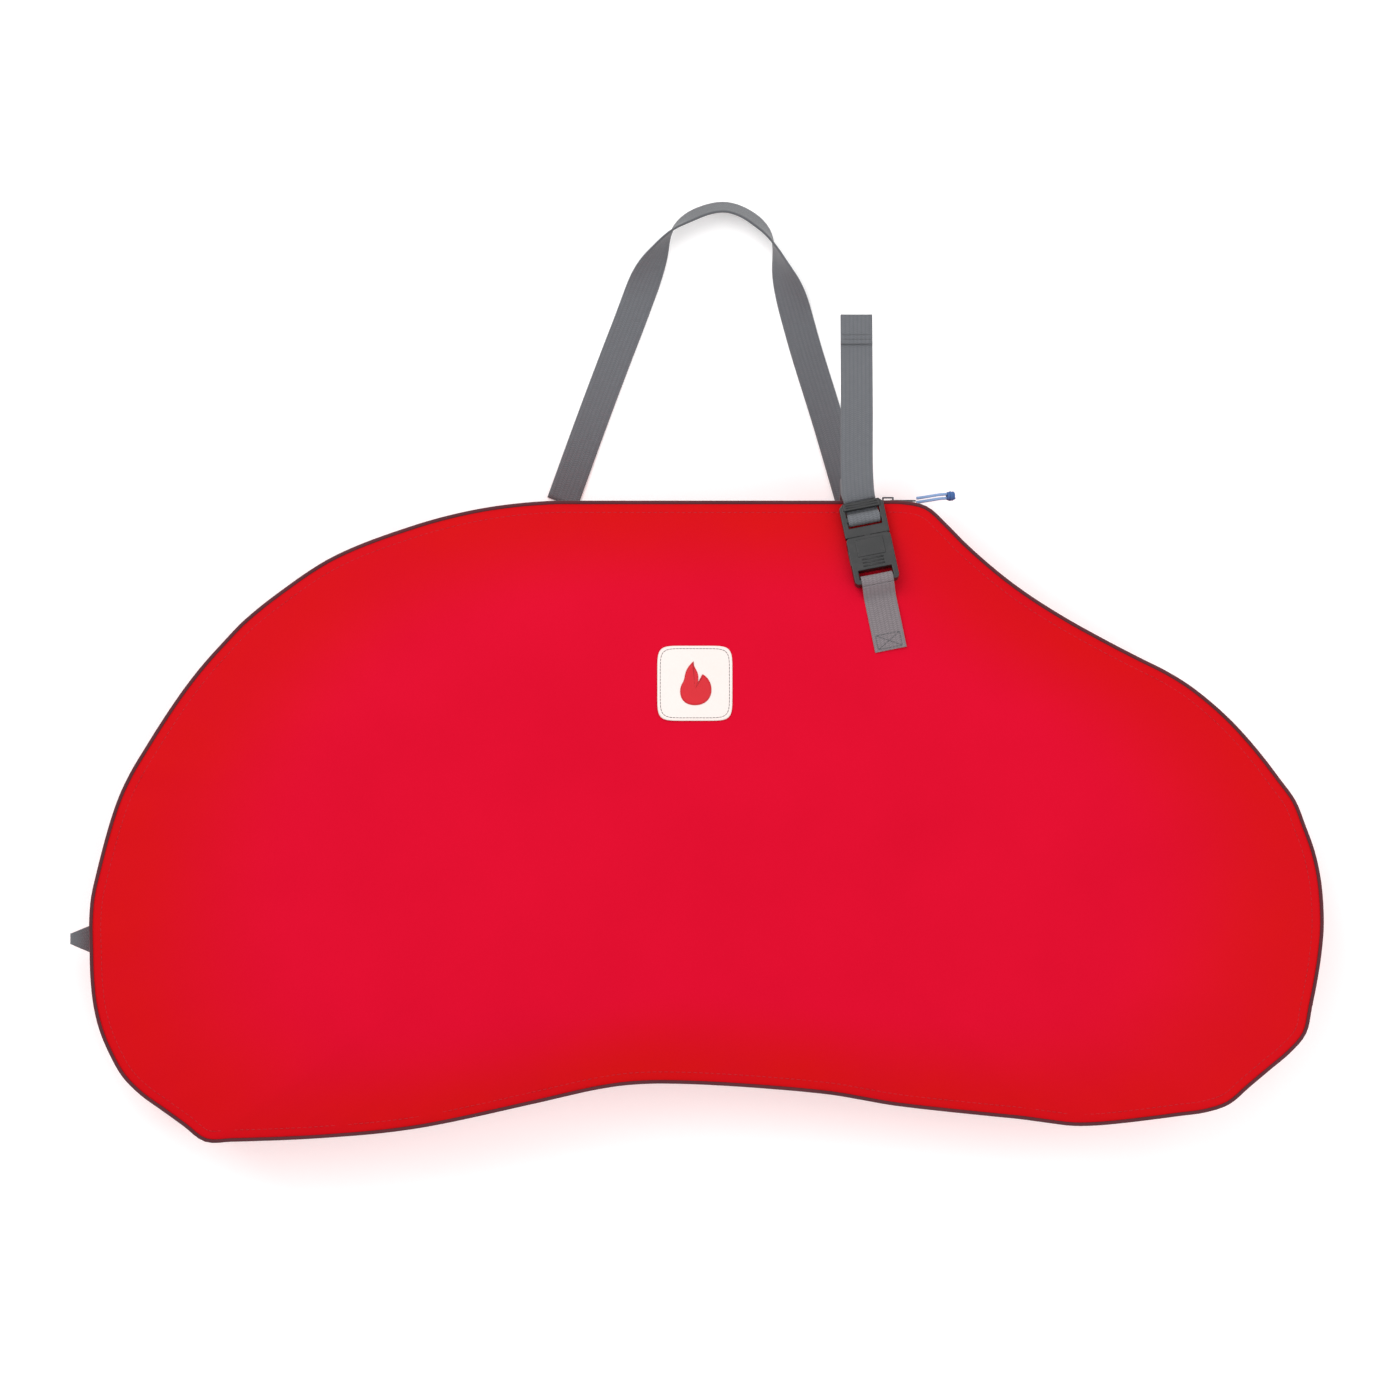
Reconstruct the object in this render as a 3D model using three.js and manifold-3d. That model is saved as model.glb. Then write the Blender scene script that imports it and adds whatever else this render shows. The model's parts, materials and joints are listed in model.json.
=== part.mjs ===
// A car fire blanket folded inside its zipped carry bag, with the bag lying on its back.
// Millimetres, +Z up. The origin is under the bag's middle, on the face that the bag lies on.
// +X runs along the bag to its right and +Y runs towards the carry handle.
import * as THREE from "three";
import { mergeVertices } from "three/addons/utils/BufferGeometryUtils.js";
import Module from "manifold-3d";

const wasm = await Module();
wasm.setup();

// ---------------------------------------------------------------- driving dimensions
const BAG_LENGTH = 962;
const BAG_WIDTH = 499;
const BAG_DEPTH = 96; // floor to the front seam
const CROWN = 26; // how far the filled front panel swells above its seam
const FABRIC = 1.8; // coated bag cloth with its seam allowance
const PIPING = 3; // side of the corded edging round each seam
const GAP = 0.3; // left between sewn or touching pieces
const OUTLINE_STEPS = 120;

const ZIP_LEVEL = 50; // height of the closed zip line above the floor
const TOOTH_HEIGHT = 1.85;
const TOOTH_THICK = 3;
const TAPE_WIDTH = 5.7;
const TAPE_THICK = 1;
const ZIP_RIGHT_X = 170; // where the zip ends on the top edge
const FOLD_RIGHT_X = 92; // where the flap's fold meets the top edge
const STOP_LENGTH = 6;

const SLIDER_X = 147;
const SLIDER_LENGTH = 14;
const SLIDER_THICK = 2;
const SLIDER_HEIGHT = 10.4;
const SLIDER_CLEARANCE = 0.5;
const BAIL_HEIGHT = 4;
const BAIL_LENGTH = 9;
const BAIL_WIDTH = 2.4;
const PULL_LENGTH = 20;
const PULL_WIDTH = 6.4;
const PULL_THICK = 1.4;
const PULL_EYE_INSET = 1.2; // metal left round the pull's inner eye
const PULL_EYE_LENGTH = 3.7;
const CORD_EYE_INSET = 2; // metal left beyond the eye that the cord goes through
const CORD_EYE_LENGTH = 4.5;
const CORD_DIAMETER = 2.4;
const CORD_SPREAD = 3.2; // between the two runs of the cord loop
const KNOT_DIAMETER = 8;
const CORD_DROOP = [[0.4, 0.4, 0], [6, 1.2, -0.2], [12, 2.2, -1.4], [18, 3.2, -3.6], [23.4, 3.7, -6.2]];
const KNOT_DROOP = [27.4, 3.9, -7.8]; // past the pull's end, out from it, and down from the zip line

const WEBBING_WIDTH = 25;
const WEBBING_THICK = 1.8;
const HANDLE_LEFT_X = -108.5;
const HANDLE_RIGHT_X = 119.5;
const HANDLE_RISE = 232; // top edge of the bag to the handle's crown
const HANDLE_STEPS = 48;
const HANDLE_LEFT_RUN = [[-84, 0.29], [-58, 0.585], [-35, 0.83], [-16, 0.945]]; // x and share of the rise
const HANDLE_RIGHT_RUN = [[20, 1], [50, 0.93], [67, 0.76], [84, 0.51], [102, 0.26]];
const HANDLE_TURN = THREE.MathUtils.degToRad(110); // how far the webbing turns over at its crown
const STRAP_X = 122;
const STRAP_BULGE = 18; // how far the closing strap stands off to let the slider pass under it
const TAIL_REACH = 145; // how far the strap's free tail runs past the bag's top edge
const TAIL_DROOP = 34;
const HEM_SHARE = 0.82; // where along the tail its folded hem starts
const ANCHOR_END = [148, 117]; // where the lower webbing is sewn to the front panel

const BUCKLE_AT = [131, 199];
const BUCKLE_TURN = THREE.MathUtils.degToRad(11);
const BUCKLE_WIDTH = 35;
const BUCKLE_THICK = 10;
const BUCKLE_WALL = 1.8;
const SOCKET_BOTTOM = -33;
const SOCKET_MOUTH = 5;
const CAVITY_BOTTOM = -17;
const WINDOW_TOP = -3;
const WINDOW_BOTTOM = -15.5;
const PLUG_TOP = 33;
const PRONG_WIDTH = 5;
const PRONG_END = -14;
const WEB_SLOT_WIDTH = 26.4;
const SOCKET_SLOT_LENGTH = 7;
const SOCKET_BAR = 4; // the bar that the lower webbing goes round
const LADDER_SLOTS = [13, 22];
const LADDER_SLOT_LENGTH = 5;
const END_BAR_RISE = 1.5; // how far the ladder's end bar stands above the plug
const BAR_GAP = 0.5; // webbing to the buckle bar that it goes round
const TAIL_GAP = 1.3; // lets the tail swing up in front of the end bar
const CHAMFER = 3;
const ARM_ROOT = 7;

const BLANKET_LENGTH = 665;
const BLANKET_WIDTH = 317;
const BLANKET_CENTRE = [-17.5, -46.5];
const BLANKET_FOLDS = 10;
const BLANKET_HEADROOM = 5.3; // left over the blanket, below the front seam, for its loops
const BLANKET_FOLD_GAP = 0.4;
const LOOP_LENGTH = 92;
const LOOP_WIDTH = 46;
const LOOP_BAND = 12;
const LOOP_THICK = 1.5;
const LOOP_CORNER = 14;
const LOOP_CENTRES = [[-290, 40], [-170, 78]];

const BADGE_SIZE = 58;
const BADGE_THICK = 0.8;
const BADGE_CORNER = 8;
const BADGE_AT = [-4, 91];
const FLAME_HEIGHT = 34;

const TAB_LENGTH = 21;
const TAB_WIDTH = 25;
const TAB_TIP_WIDTH = 8;
const TAB_OPENING = 6;

// ---------------------------------------------------------------- materials
const colours = {
  red_cloth: [0xd90d28, 0.8, 0],
  piping: [0x3a2a2e, 0.8, 0],
  tape: [0x2b2b2e, 0.85, 0],
  teeth: [0x1f1f22, 0.45, 0],
  slider: [0x33353a, 0.35, 0.8],
  webbing: [0x6f7276, 0.85, 0],
  buckle: [0x26282a, 0.4, 0],
  cord: [0x4f7fb8, 0.7, 0],
  blanket: [0xcfc9b8, 0.85, 0],
  loop: [0x24262a, 0.85, 0],
  badge: [0xf2efe9, 0.6, 0],
  flame: [0xc8202c, 0.6, 0],
};

function finish(name) {
  const [color, roughness, metalness] = colours[name];
  return new THREE.MeshStandardMaterial({ color, roughness, metalness });
}

const bag = new THREE.Group();

function add(name, geometry, material, parent = bag) {
  const mesh = new THREE.Mesh(geometry, finish(material));
  mesh.name = name;
  parent.add(mesh);
  return mesh;
}

// ---------------------------------------------------------------- solid helpers
function toManifold(geometry) {
  const bare = geometry.clone();
  bare.deleteAttribute("normal");
  bare.deleteAttribute("uv");
  const merged = mergeVertices(bare, 1e-4);
  const vertProperties = new Float32Array(merged.attributes.position.array);
  const triVerts = new Uint32Array(withoutSlivers(Array.from(merged.index.array)));
  return new wasm.Manifold(new wasm.Mesh({ numProp: 3, vertProperties, triVerts }));
}

// Leaves out the triangles that a lathe makes with two corners on its axis.
function withoutSlivers(index) {
  const kept = [];
  for (let i = 0; i < index.length; i += 3) {
    const [a, b, c] = index.slice(i, i + 3);
    if (a !== b && b !== c && c !== a) kept.push(a, b, c);
  }
  return kept;
}

function fromManifold(solid) {
  const mesh = solid.getMesh();
  const geometry = new THREE.BufferGeometry();
  geometry.setAttribute("position", new THREE.BufferAttribute(mesh.vertProperties, 3));
  geometry.setIndex(new THREE.BufferAttribute(mesh.triVerts, 1));
  geometry.computeVertexNormals();
  return geometry;
}

function boxBetween(low, high) {
  const box = new THREE.BoxGeometry(high[0] - low[0], high[1] - low[1], high[2] - low[2]);
  box.translate((low[0] + high[0]) / 2, (low[1] + high[1]) / 2, (low[2] + high[2]) / 2);
  return box;
}

function plate(shape, bottom, top, curveSegments = 12) {
  const depth = top - bottom;
  const geometry = new THREE.ExtrudeGeometry(shape, { depth, bevelEnabled: false, curveSegments });
  geometry.translate(0, 0, bottom);
  return geometry;
}

function polygon(points) {
  return new THREE.Shape(points.map(([x, y]) => new THREE.Vector2(x, y)));
}

function hole(points) {
  return new THREE.Path(points.map(([x, y]) => new THREE.Vector2(x, y)));
}

// The corners of an eye in a plate, clockwise, half being its reach to each side of the plate's middle.
function eyeCorners(left, right, half) {
  return [[left, -half], [left, half], [right, half], [right, -half]];
}

// A rounded rectangle as a list of corner points.
function roundedBox(left, bottom, right, top, radius, cornerSteps = 3) {
  const corners = [[right, top, 0], [left, top, 1], [left, bottom, 2], [right, bottom, 3]];
  return corners.flatMap(([x, y, quarter]) => Array.from({ length: cornerSteps + 1 }, (_, step) => {
    const angle = (quarter + step / cornerSteps) * Math.PI / 2;
    const inX = x - Math.sign(x - (left + right) / 2) * radius;
    const inY = y - Math.sign(y - (bottom + top) / 2) * radius;
    return [inX + radius * Math.cos(angle), inY + radius * Math.sin(angle)];
  }));
}

// A flat band of webbing bent along a path: across(t) is the direction of its width.
function ribbon({ width, thickness, path, across, steps, thicken = () => 1 }) {
  const geometry = new THREE.BoxGeometry(width, 1, thickness, 1, steps, 1);
  const place = geometry.attributes.position;
  for (let i = 0; i < place.count; i += 1) {
    const t = Math.min(1, Math.max(0, place.getY(i) + 0.5));
    const side = across(t).normalize();
    const along = path.getTangentAt(t);
    side.addScaledVector(along, -side.dot(along)).normalize();
    const up = side.clone().cross(along).normalize();
    const at = path.getPointAt(t).addScaledVector(side, place.getX(i));
    at.addScaledVector(up, place.getZ(i) * thicken(t));
    place.setXYZ(i, at.x, at.y, at.z);
  }
  return geometry;
}

function tube(points, diameter, steps) {
  const section = new THREE.Shape();
  section.absarc(0, 0, diameter / 2, 0, 2 * Math.PI);
  const extrudePath = new THREE.CatmullRomCurve3(points);
  return new THREE.ExtrudeGeometry(section, { steps, curveSegments: 4, extrudePath, bevelEnabled: false });
}

function curveThrough(points) {
  return new THREE.CatmullRomCurve3(points.map(([x, y, z]) => new THREE.Vector3(x, y, z)));
}

// ---------------------------------------------------------------- the bag's outline
// Drawn clockwise from the zip's left end, as the outside of the piping on a 962 by 499 mm bag.
const PATTERN_LENGTH = 962;
const PATTERN_WIDTH = 499;

function pattern([x, y]) {
  return new THREE.Vector2(x * BAG_LENGTH / PATTERN_LENGTH, y * BAG_WIDTH / PATTERN_WIDTH);
}

function drawOutline() {
  const shape = new THREE.Shape();
  const line = (point) => shape.lineTo(...pattern(point));
  const spline = (points) => shape.splineThru(points.map(pattern));
  shape.moveTo(...pattern([-475, -96]));
  spline([[-472, -68], [-453, 0], [-427, 48], [-392, 99], [-351, 144]]);
  spline([[-290, 187], [-225, 213], [-170, 227], [-120, 233]]);
  line([162, 233]);
  shape.quadraticCurveTo(...pattern([181, 231]), ...pattern([194, 212]));
  spline([[221, 187], [250, 164], [286, 141], [330, 117], [374, 94], [409, 66], [437, 35], [463, 0]]);
  spline([[480, -47], [485, -95], [480, -140], [470, -187]]);
  line([406, -241]);
  spline([[305, -253], [250, -248], [156, -238], [94, -228], [0, -221], [-62, -222], [-125, -235]]);
  spline([[-219, -255], [-300, -263], [-384, -266]]);
  line([-445, -222]);
  spline([[-464, -187], [-473, -150], [-475, -96]]);
  return shape;
}

const outline = drawOutline().getSpacedPoints(OUTLINE_STEPS).slice(0, OUTLINE_STEPS);
const outlineNormals = outline.map((_, k) => {
  const after = outline[(k + 1) % OUTLINE_STEPS];
  const before = outline[(k + OUTLINE_STEPS - 1) % OUTLINE_STEPS];
  const along = after.clone().sub(before).normalize();
  return new THREE.Vector2(-along.y, along.x);
});

function outlineCorner(k, offset) {
  const wrapped = (k + OUTLINE_STEPS) % OUTLINE_STEPS;
  return outline[wrapped].clone().addScaledVector(outlineNormals[wrapped], offset);
}

// A point of the outline at step s, which may be a fraction, moved outward by offset.
function outlineAt(s, offset) {
  const k = Math.floor(s);
  return outlineCorner(k, offset).lerp(outlineCorner(k + 1, offset), s - k);
}

// The step at which the top edge reaches x.
function stepOnTopEdge(x) {
  const k = outline.findIndex((point, i) => {
    const next = outline[(i + 1) % OUTLINE_STEPS];
    return point.y > 0 && point.x <= x && next.x > x;
  });
  return k + (x - outline[k].x) / (outline[k + 1].x - outline[k].x);
}

const FACE = -(PIPING + GAP); // outer face of the cloth, measured from the outline
const TOP_EDGE_Y = pattern([0, 233]).y;
const ZIP_RIGHT = stepOnTopEdge(ZIP_RIGHT_X);
const FOLD_RIGHT = stepOnTopEdge(FOLD_RIGHT_X);
const STEP_LENGTH = outline[1].distanceTo(outline[0]);
const STEP_GAP = GAP / STEP_LENGTH;

// A wall that follows the outline between two steps, inner and outer being offsets from it.
function edgeWall(from, to, inner, outer, bottom, top) {
  const stops = [from];
  for (let k = Math.floor(from) + 1; k < to; k += 1) stops.push(k);
  stops.push(to);
  const outside = stops.map((s) => outlineAt(s, outer));
  const inside = stops.map((s) => outlineAt(s, inner)).reverse();
  return plate(new THREE.Shape([...outside, ...inside]), bottom, top);
}

// A closed ring along the whole outline: a lathed ring whose radius becomes the offset.
function edgeRing(inner, outer, bottom, top) {
  const radius = 100;
  const section = [[outer, bottom], [inner, bottom], [inner, top], [outer, top], [outer, bottom]];
  const profile = section.map(([offset, z]) => new THREE.Vector2(radius + offset, z));
  const geometry = new THREE.LatheGeometry(profile, OUTLINE_STEPS);
  const place = geometry.attributes.position;
  for (let i = 0; i < place.count; i += 1) {
    const offset = Math.hypot(place.getX(i), place.getZ(i)) - radius;
    const corner = outlineCorner(Math.floor(i / profile.length), offset);
    place.setXYZ(i, corner.x, corner.y, place.getY(i));
  }
  return geometry;
}

// ---------------------------------------------------------------- the swollen front panel
function swell(share) {
  return CROWN * (1 - share ** 3);
}

// How far out a point lies, as a share of the way from the bag's middle to the panel's edge.
function shareToEdge(x, y) {
  for (let k = 0; k < OUTLINE_STEPS; k += 1) {
    const a = outlineCorner(k, FACE);
    const b = outlineCorner(k + 1, FACE);
    const turn = a.x * b.y - a.y * b.x;
    const nearA = (x * b.y - y * b.x) / turn;
    const nearB = (a.x * y - a.y * x) / turn;
    if (nearA >= 0 && nearB >= 0) return nearA + nearB;
  }
  return 1;
}

function panelTop(x, y) {
  return BAG_DEPTH + FABRIC + swell(Math.min(1, shareToEdge(x, y)));
}

function panelNormal(x, y) {
  const reach = 12;
  const slopeX = (panelTop(x + reach, y) - panelTop(x - reach, y)) / (2 * reach);
  const slopeY = (panelTop(x, y + reach) - panelTop(x, y - reach)) / (2 * reach);
  return new THREE.Vector3(-slopeX, -slopeY, 1).normalize();
}

function swollenPanel() {
  const shares = [0, 0.4, 0.64, 0.84, 1];
  const above = shares.map((share) => new THREE.Vector2(share, BAG_DEPTH + FABRIC + swell(share)));
  const below = shares.map((share) => new THREE.Vector2(share, BAG_DEPTH + swell(share))).reverse();
  const profile = [...below, ...above, below[0]];
  const geometry = new THREE.LatheGeometry(profile, OUTLINE_STEPS);
  const place = geometry.attributes.position;
  const rows = profile.length;
  for (let i = 0; i < place.count; i += 1) {
    const share = Math.hypot(place.getX(i), place.getZ(i));
    const edge = outlineCorner(Math.floor(i / rows), FACE);
    place.setXYZ(i, edge.x * share, edge.y * share, place.getY(i));
  }
  return geometry;
}

// A block that fills one side of the upright plane through the flap's fold.
function foldSide(side) {
  const start = outlineAt(0, 0);
  const end = outlineAt(FOLD_RIGHT, 0);
  const reach = 2 * BAG_LENGTH;
  const block = new THREE.BoxGeometry(reach, reach, reach);
  block.translate(0, side * (reach / 2 + GAP / 2), 0);
  block.rotateZ(Math.atan2(end.y - start.y, end.x - start.x));
  block.translate(start.x, start.y, 0);
  return toManifold(block);
}

const wholePanel = toManifold(swollenPanel());
const panelOutline = polygon(outline.map((_, k) => outlineCorner(k, FACE).toArray()));
add("back_panel", plate(panelOutline, 0, FABRIC), "red_cloth");
add("front_panel", fromManifold(wholePanel.intersect(foldSide(-1))), "red_cloth");
add("flap_panel", fromManifold(wholePanel.intersect(foldSide(1))), "red_cloth");

// ---------------------------------------------------------------- side walls, piping and zip
const WALL_BOTTOM = FABRIC + GAP;
const WALL_TOP = BAG_DEPTH - GAP;
const TEETH_REAR_TOP = ZIP_LEVEL - GAP / 2;
const TEETH_REAR_BOTTOM = TEETH_REAR_TOP - TOOTH_HEIGHT;
const TAPE_REAR_TOP = TEETH_REAR_BOTTOM - GAP;
const TAPE_REAR_BOTTOM = TAPE_REAR_TOP - TAPE_WIDTH;
const TEETH_FRONT_BOTTOM = ZIP_LEVEL + GAP / 2;
const TEETH_FRONT_TOP = TEETH_FRONT_BOTTOM + TOOTH_HEIGHT;
const TAPE_FRONT_BOTTOM = TEETH_FRONT_TOP + GAP;
const TAPE_FRONT_TOP = TAPE_FRONT_BOTTOM + TAPE_WIDTH;
const TAPE_MIDDLE = FACE - FABRIC / 2;
const TEETH_OUTER = TAPE_MIDDLE + TOOTH_THICK / 2;

function clothWall(name, from, to, bottom, top) {
  add(name, edgeWall(from, to, FACE - FABRIC, FACE, bottom, top), "red_cloth");
}

function zipTape(name, from, to, bottom, top) {
  const half = TAPE_THICK / 2;
  add(name, edgeWall(from, to, TAPE_MIDDLE - half, TAPE_MIDDLE + half, bottom, top), "tape");
}

function zipTeeth(name, from, to, bottom, top) {
  add(name, edgeWall(from, to, TEETH_OUTER - TOOTH_THICK, TEETH_OUTER, bottom, top), "teeth");
}

function frontZipRun(suffix, from, to) {
  zipTape(`zip_tape_${suffix}`, from, to, TAPE_FRONT_BOTTOM, TAPE_FRONT_TOP);
  zipTeeth(`zip_teeth_${suffix}`, from, to, TEETH_FRONT_BOTTOM, TEETH_FRONT_TOP);
  clothWall(`gusset_${suffix}`, from, to, TAPE_FRONT_TOP + GAP, WALL_TOP);
}

function pipingWall(name, from, to) {
  add(name, edgeWall(from, to, -PIPING, 0, WALL_TOP - PIPING + FABRIC, WALL_TOP + FABRIC), "piping");
}

clothWall("gusset_band", ZIP_RIGHT + STEP_GAP, OUTLINE_STEPS - STEP_GAP, WALL_BOTTOM, WALL_TOP);
clothWall("gusset_rear", 0, ZIP_RIGHT, WALL_BOTTOM, TAPE_REAR_BOTTOM - GAP);
zipTape("zip_tape_rear", 0, ZIP_RIGHT, TAPE_REAR_BOTTOM, TAPE_REAR_TOP);
zipTeeth("zip_teeth_rear", 0, ZIP_RIGHT, TEETH_REAR_BOTTOM, TEETH_REAR_TOP);
frontZipRun("flap", STEP_GAP, FOLD_RIGHT - STEP_GAP);
frontZipRun("front_end", FOLD_RIGHT, ZIP_RIGHT);
add("piping_rear", edgeRing(-PIPING, 0, GAP, GAP + PIPING), "piping");
pipingWall("piping_flap", STEP_GAP, FOLD_RIGHT - STEP_GAP);
pipingWall("piping_front", FOLD_RIGHT, OUTLINE_STEPS);

const STOP_HALF = TOOTH_HEIGHT + GAP;
const STOP_INNER = TEETH_OUTER + GAP;
const stopStart = ZIP_RIGHT - STOP_LENGTH / STEP_LENGTH;
const stopWall = edgeWall(
  stopStart, ZIP_RIGHT, STOP_INNER, STOP_INNER + TAPE_THICK, ZIP_LEVEL - STOP_HALF, ZIP_LEVEL + STOP_HALF,
);
add("zip_stop", stopWall, "slider");

// ---------------------------------------------------------------- slider, pull and its cord loop
// The slider hugs the teeth from outside: a plate with two flanges that reach down to the tapes.
const PLATE_INNER = TEETH_OUTER + SLIDER_CLEARANCE;
const PLATE_OUTER = PLATE_INNER + SLIDER_THICK;
const FLANGE_REACH = TAPE_MIDDLE + TAPE_THICK / 2 + SLIDER_CLEARANCE;
const FLANGE_INNER = TOOTH_HEIGHT + GAP / 2 + SLIDER_CLEARANCE;

function sliderGeometry() {
  const half = SLIDER_LENGTH / 2;
  const low = ZIP_LEVEL - SLIDER_HEIGHT / 2;
  const high = ZIP_LEVEL + SLIDER_HEIGHT / 2;
  const body = boxBetween([-half, FLANGE_REACH, low], [half, PLATE_OUTER, high]);
  const channel = boxBetween(
    [-half - 1, FLANGE_REACH - 1, ZIP_LEVEL - FLANGE_INNER],
    [half + 1, PLATE_INNER, ZIP_LEVEL + FLANGE_INNER],
  );
  const foot = PLATE_OUTER - GAP;
  const bailTop = PLATE_OUTER + BAIL_HEIGHT;
  const bail = boxBetween(
    [-BAIL_LENGTH / 2, foot, ZIP_LEVEL - BAIL_WIDTH / 2],
    [BAIL_LENGTH / 2, bailTop, ZIP_LEVEL + BAIL_WIDTH / 2],
  );
  const eye = boxBetween(
    [-BAIL_LENGTH / 2 + BAIL_WIDTH / 2, PLATE_OUTER, ZIP_LEVEL - BAIL_WIDTH],
    [BAIL_LENGTH / 2 - BAIL_WIDTH / 2, bailTop - BAIL_WIDTH / 2, ZIP_LEVEL + BAIL_WIDTH],
  );
  const plain = toManifold(body).subtract(toManifold(channel));
  return fromManifold(plain.add(toManifold(bail)).subtract(toManifold(eye)));
}

const zipPull = new THREE.Group();
zipPull.position.set(SLIDER_X, TOP_EDGE_Y, 0);
bag.add(zipPull);
add("slider", sliderGeometry(), "slider", zipPull);

// The pull's inner eye goes round the bail's right post, and the cord loop goes through its outer eye.
const PULL_ROOT = PLATE_OUTER + GAP;
const POST_X = BAIL_LENGTH / 2 - BAIL_WIDTH / 4;
const EYE_HALF = BAIL_WIDTH / 2 + GAP;
const PULL_START = POST_X - BAIL_WIDTH / 4 - GAP - PULL_EYE_INSET;
const PULL_END = PULL_START + PULL_LENGTH;

function pullGeometry() {
  const half = PULL_WIDTH / 2;
  const outer = polygon(roundedBox(PULL_START, -half, PULL_END, half, 2));
  const eyeLeft = PULL_START + PULL_EYE_INSET;
  const eyeRight = eyeLeft + PULL_EYE_LENGTH;
  outer.holes.push(hole(eyeCorners(eyeLeft, eyeRight, EYE_HALF)));
  const cordRight = PULL_END - CORD_EYE_INSET;
  const cordHalf = half - PULL_EYE_INSET;
  const cordEye = roundedBox(cordRight - CORD_EYE_LENGTH, -cordHalf, cordRight, cordHalf, PULL_EYE_INSET);
  outer.holes.push(hole(cordEye.reverse()));
  const geometry = plate(outer, -PULL_THICK / 2, PULL_THICK / 2);
  geometry.rotateX(-Math.PI / 2);
  geometry.translate(0, PULL_ROOT + PULL_THICK / 2, ZIP_LEVEL);
  return geometry;
}

add("pull_tab", pullGeometry(), "slider", zipPull);

// The cord leaves the pull's end, droops, and both runs meet in the knot.
const PULL_MIDDLE_Y = PULL_ROOT + PULL_THICK / 2;

function fromPullEnd([x, y, z], aside = 0) {
  return new THREE.Vector3(PULL_END + x, PULL_MIDDLE_Y + y + aside, ZIP_LEVEL + z);
}

function cordRun(side) {
  return CORD_DROOP.map((point) => fromPullEnd(point, side * CORD_SPREAD / 2));
}

add("cord_run_outer", tube(cordRun(1), CORD_DIAMETER, 10), "cord", zipPull);
add("cord_run_inner", tube(cordRun(-1), CORD_DIAMETER, 10), "cord", zipPull);
const knot = new THREE.SphereGeometry(KNOT_DIAMETER / 2, 12, 8);
knot.translate(...fromPullEnd(KNOT_DROOP));
add("cord_knot", knot, "cord", zipPull);

// ---------------------------------------------------------------- carry handle
function smoothStep(low, high, t) {
  return THREE.MathUtils.smoothstep(t, low, high);
}

// The webbing lies flat at both roots and turns over on its edge at the crown.
function handleTurn(t) {
  return HANDLE_TURN * smoothStep(0.31, 0.47, t) * (1 - smoothStep(0.56, 0.73, t));
}

const HANDLE_Z = GAP + WEBBING_THICK / 2;
const HANDLE_ROOT_Y = TOP_EDGE_Y + GAP;

function handleGeometry() {
  const run = [[HANDLE_LEFT_X, 0], ...HANDLE_LEFT_RUN, ...HANDLE_RIGHT_RUN, [HANDLE_RIGHT_X, 0]];
  const plan = curveThrough(run.map(([x, share]) => [x, HANDLE_ROOT_Y + share * HANDLE_RISE, 0]));
  const flat = (t) => new THREE.Vector3(0, 0, 1).cross(plan.getTangentAt(t)).negate();
  const geometry = ribbon({
    width: WEBBING_WIDTH,
    thickness: WEBBING_THICK,
    path: plan,
    across: (t) => flat(t).applyAxisAngle(plan.getTangentAt(t), handleTurn(t)),
    steps: HANDLE_STEPS,
  });
  liftOffFloor(geometry);
  squareRoots(geometry);
  return geometry;
}

// The handle's webbing before it is bent, whose rows tell how far along each corner lies.
function straightRows() {
  return new THREE.BoxGeometry(WEBBING_WIDTH, 1, WEBBING_THICK, 1, HANDLE_STEPS, 1).attributes.position;
}

// The turned stretches stand on their lower edge, so each cross-section rises by its half height.
function liftOffFloor(geometry) {
  const place = geometry.attributes.position;
  const rows = straightRows();
  for (let i = 0; i < place.count; i += 1) {
    const turn = handleTurn(Math.min(1, Math.max(0, rows.getY(i) + 0.5)));
    const halfHeight = Math.abs(Math.sin(turn)) * WEBBING_WIDTH / 2;
    place.setZ(i, place.getZ(i) + HANDLE_Z + halfHeight);
  }
}

// Both root ends are cut parallel to the seam that they are sewn into.
function squareRoots(geometry) {
  const place = geometry.attributes.position;
  const rows = straightRows();
  for (let i = 0; i < place.count; i += 1) {
    if (Math.abs(rows.getY(i)) > 0.499) place.setY(i, HANDLE_ROOT_Y);
  }
}

add("handle_webbing", handleGeometry(), "webbing");

// ---------------------------------------------------------------- closing buckle on the front panel
// A group that lies flat on the swollen panel, its local +Y turned from the bag's +Y.
function seatOnPanel(x, y, turn) {
  const up = panelNormal(x, y);
  const along = new THREE.Vector3(-Math.sin(turn), Math.cos(turn), 0);
  along.addScaledVector(up, -along.dot(up)).normalize();
  const across = along.clone().cross(up);
  const seat = new THREE.Group();
  seat.quaternion.setFromRotationMatrix(new THREE.Matrix4().makeBasis(across, along, up));
  seat.position.set(x, y, panelTop(x, y) + GAP);
  seat.updateMatrixWorld();
  return seat;
}

const buckle = seatOnPanel(...BUCKLE_AT, BUCKLE_TURN);
bag.add(buckle);
const BUCKLE_HALF = BUCKLE_WIDTH / 2;
const CAVITY_HALF = BUCKLE_HALF - BUCKLE_WALL;
const PLUG_LOW = BUCKLE_WALL + GAP;
const PLUG_HIGH = BUCKLE_THICK - BUCKLE_WALL - GAP;
const SLOT_HALF = WEB_SLOT_WIDTH / 2;

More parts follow.
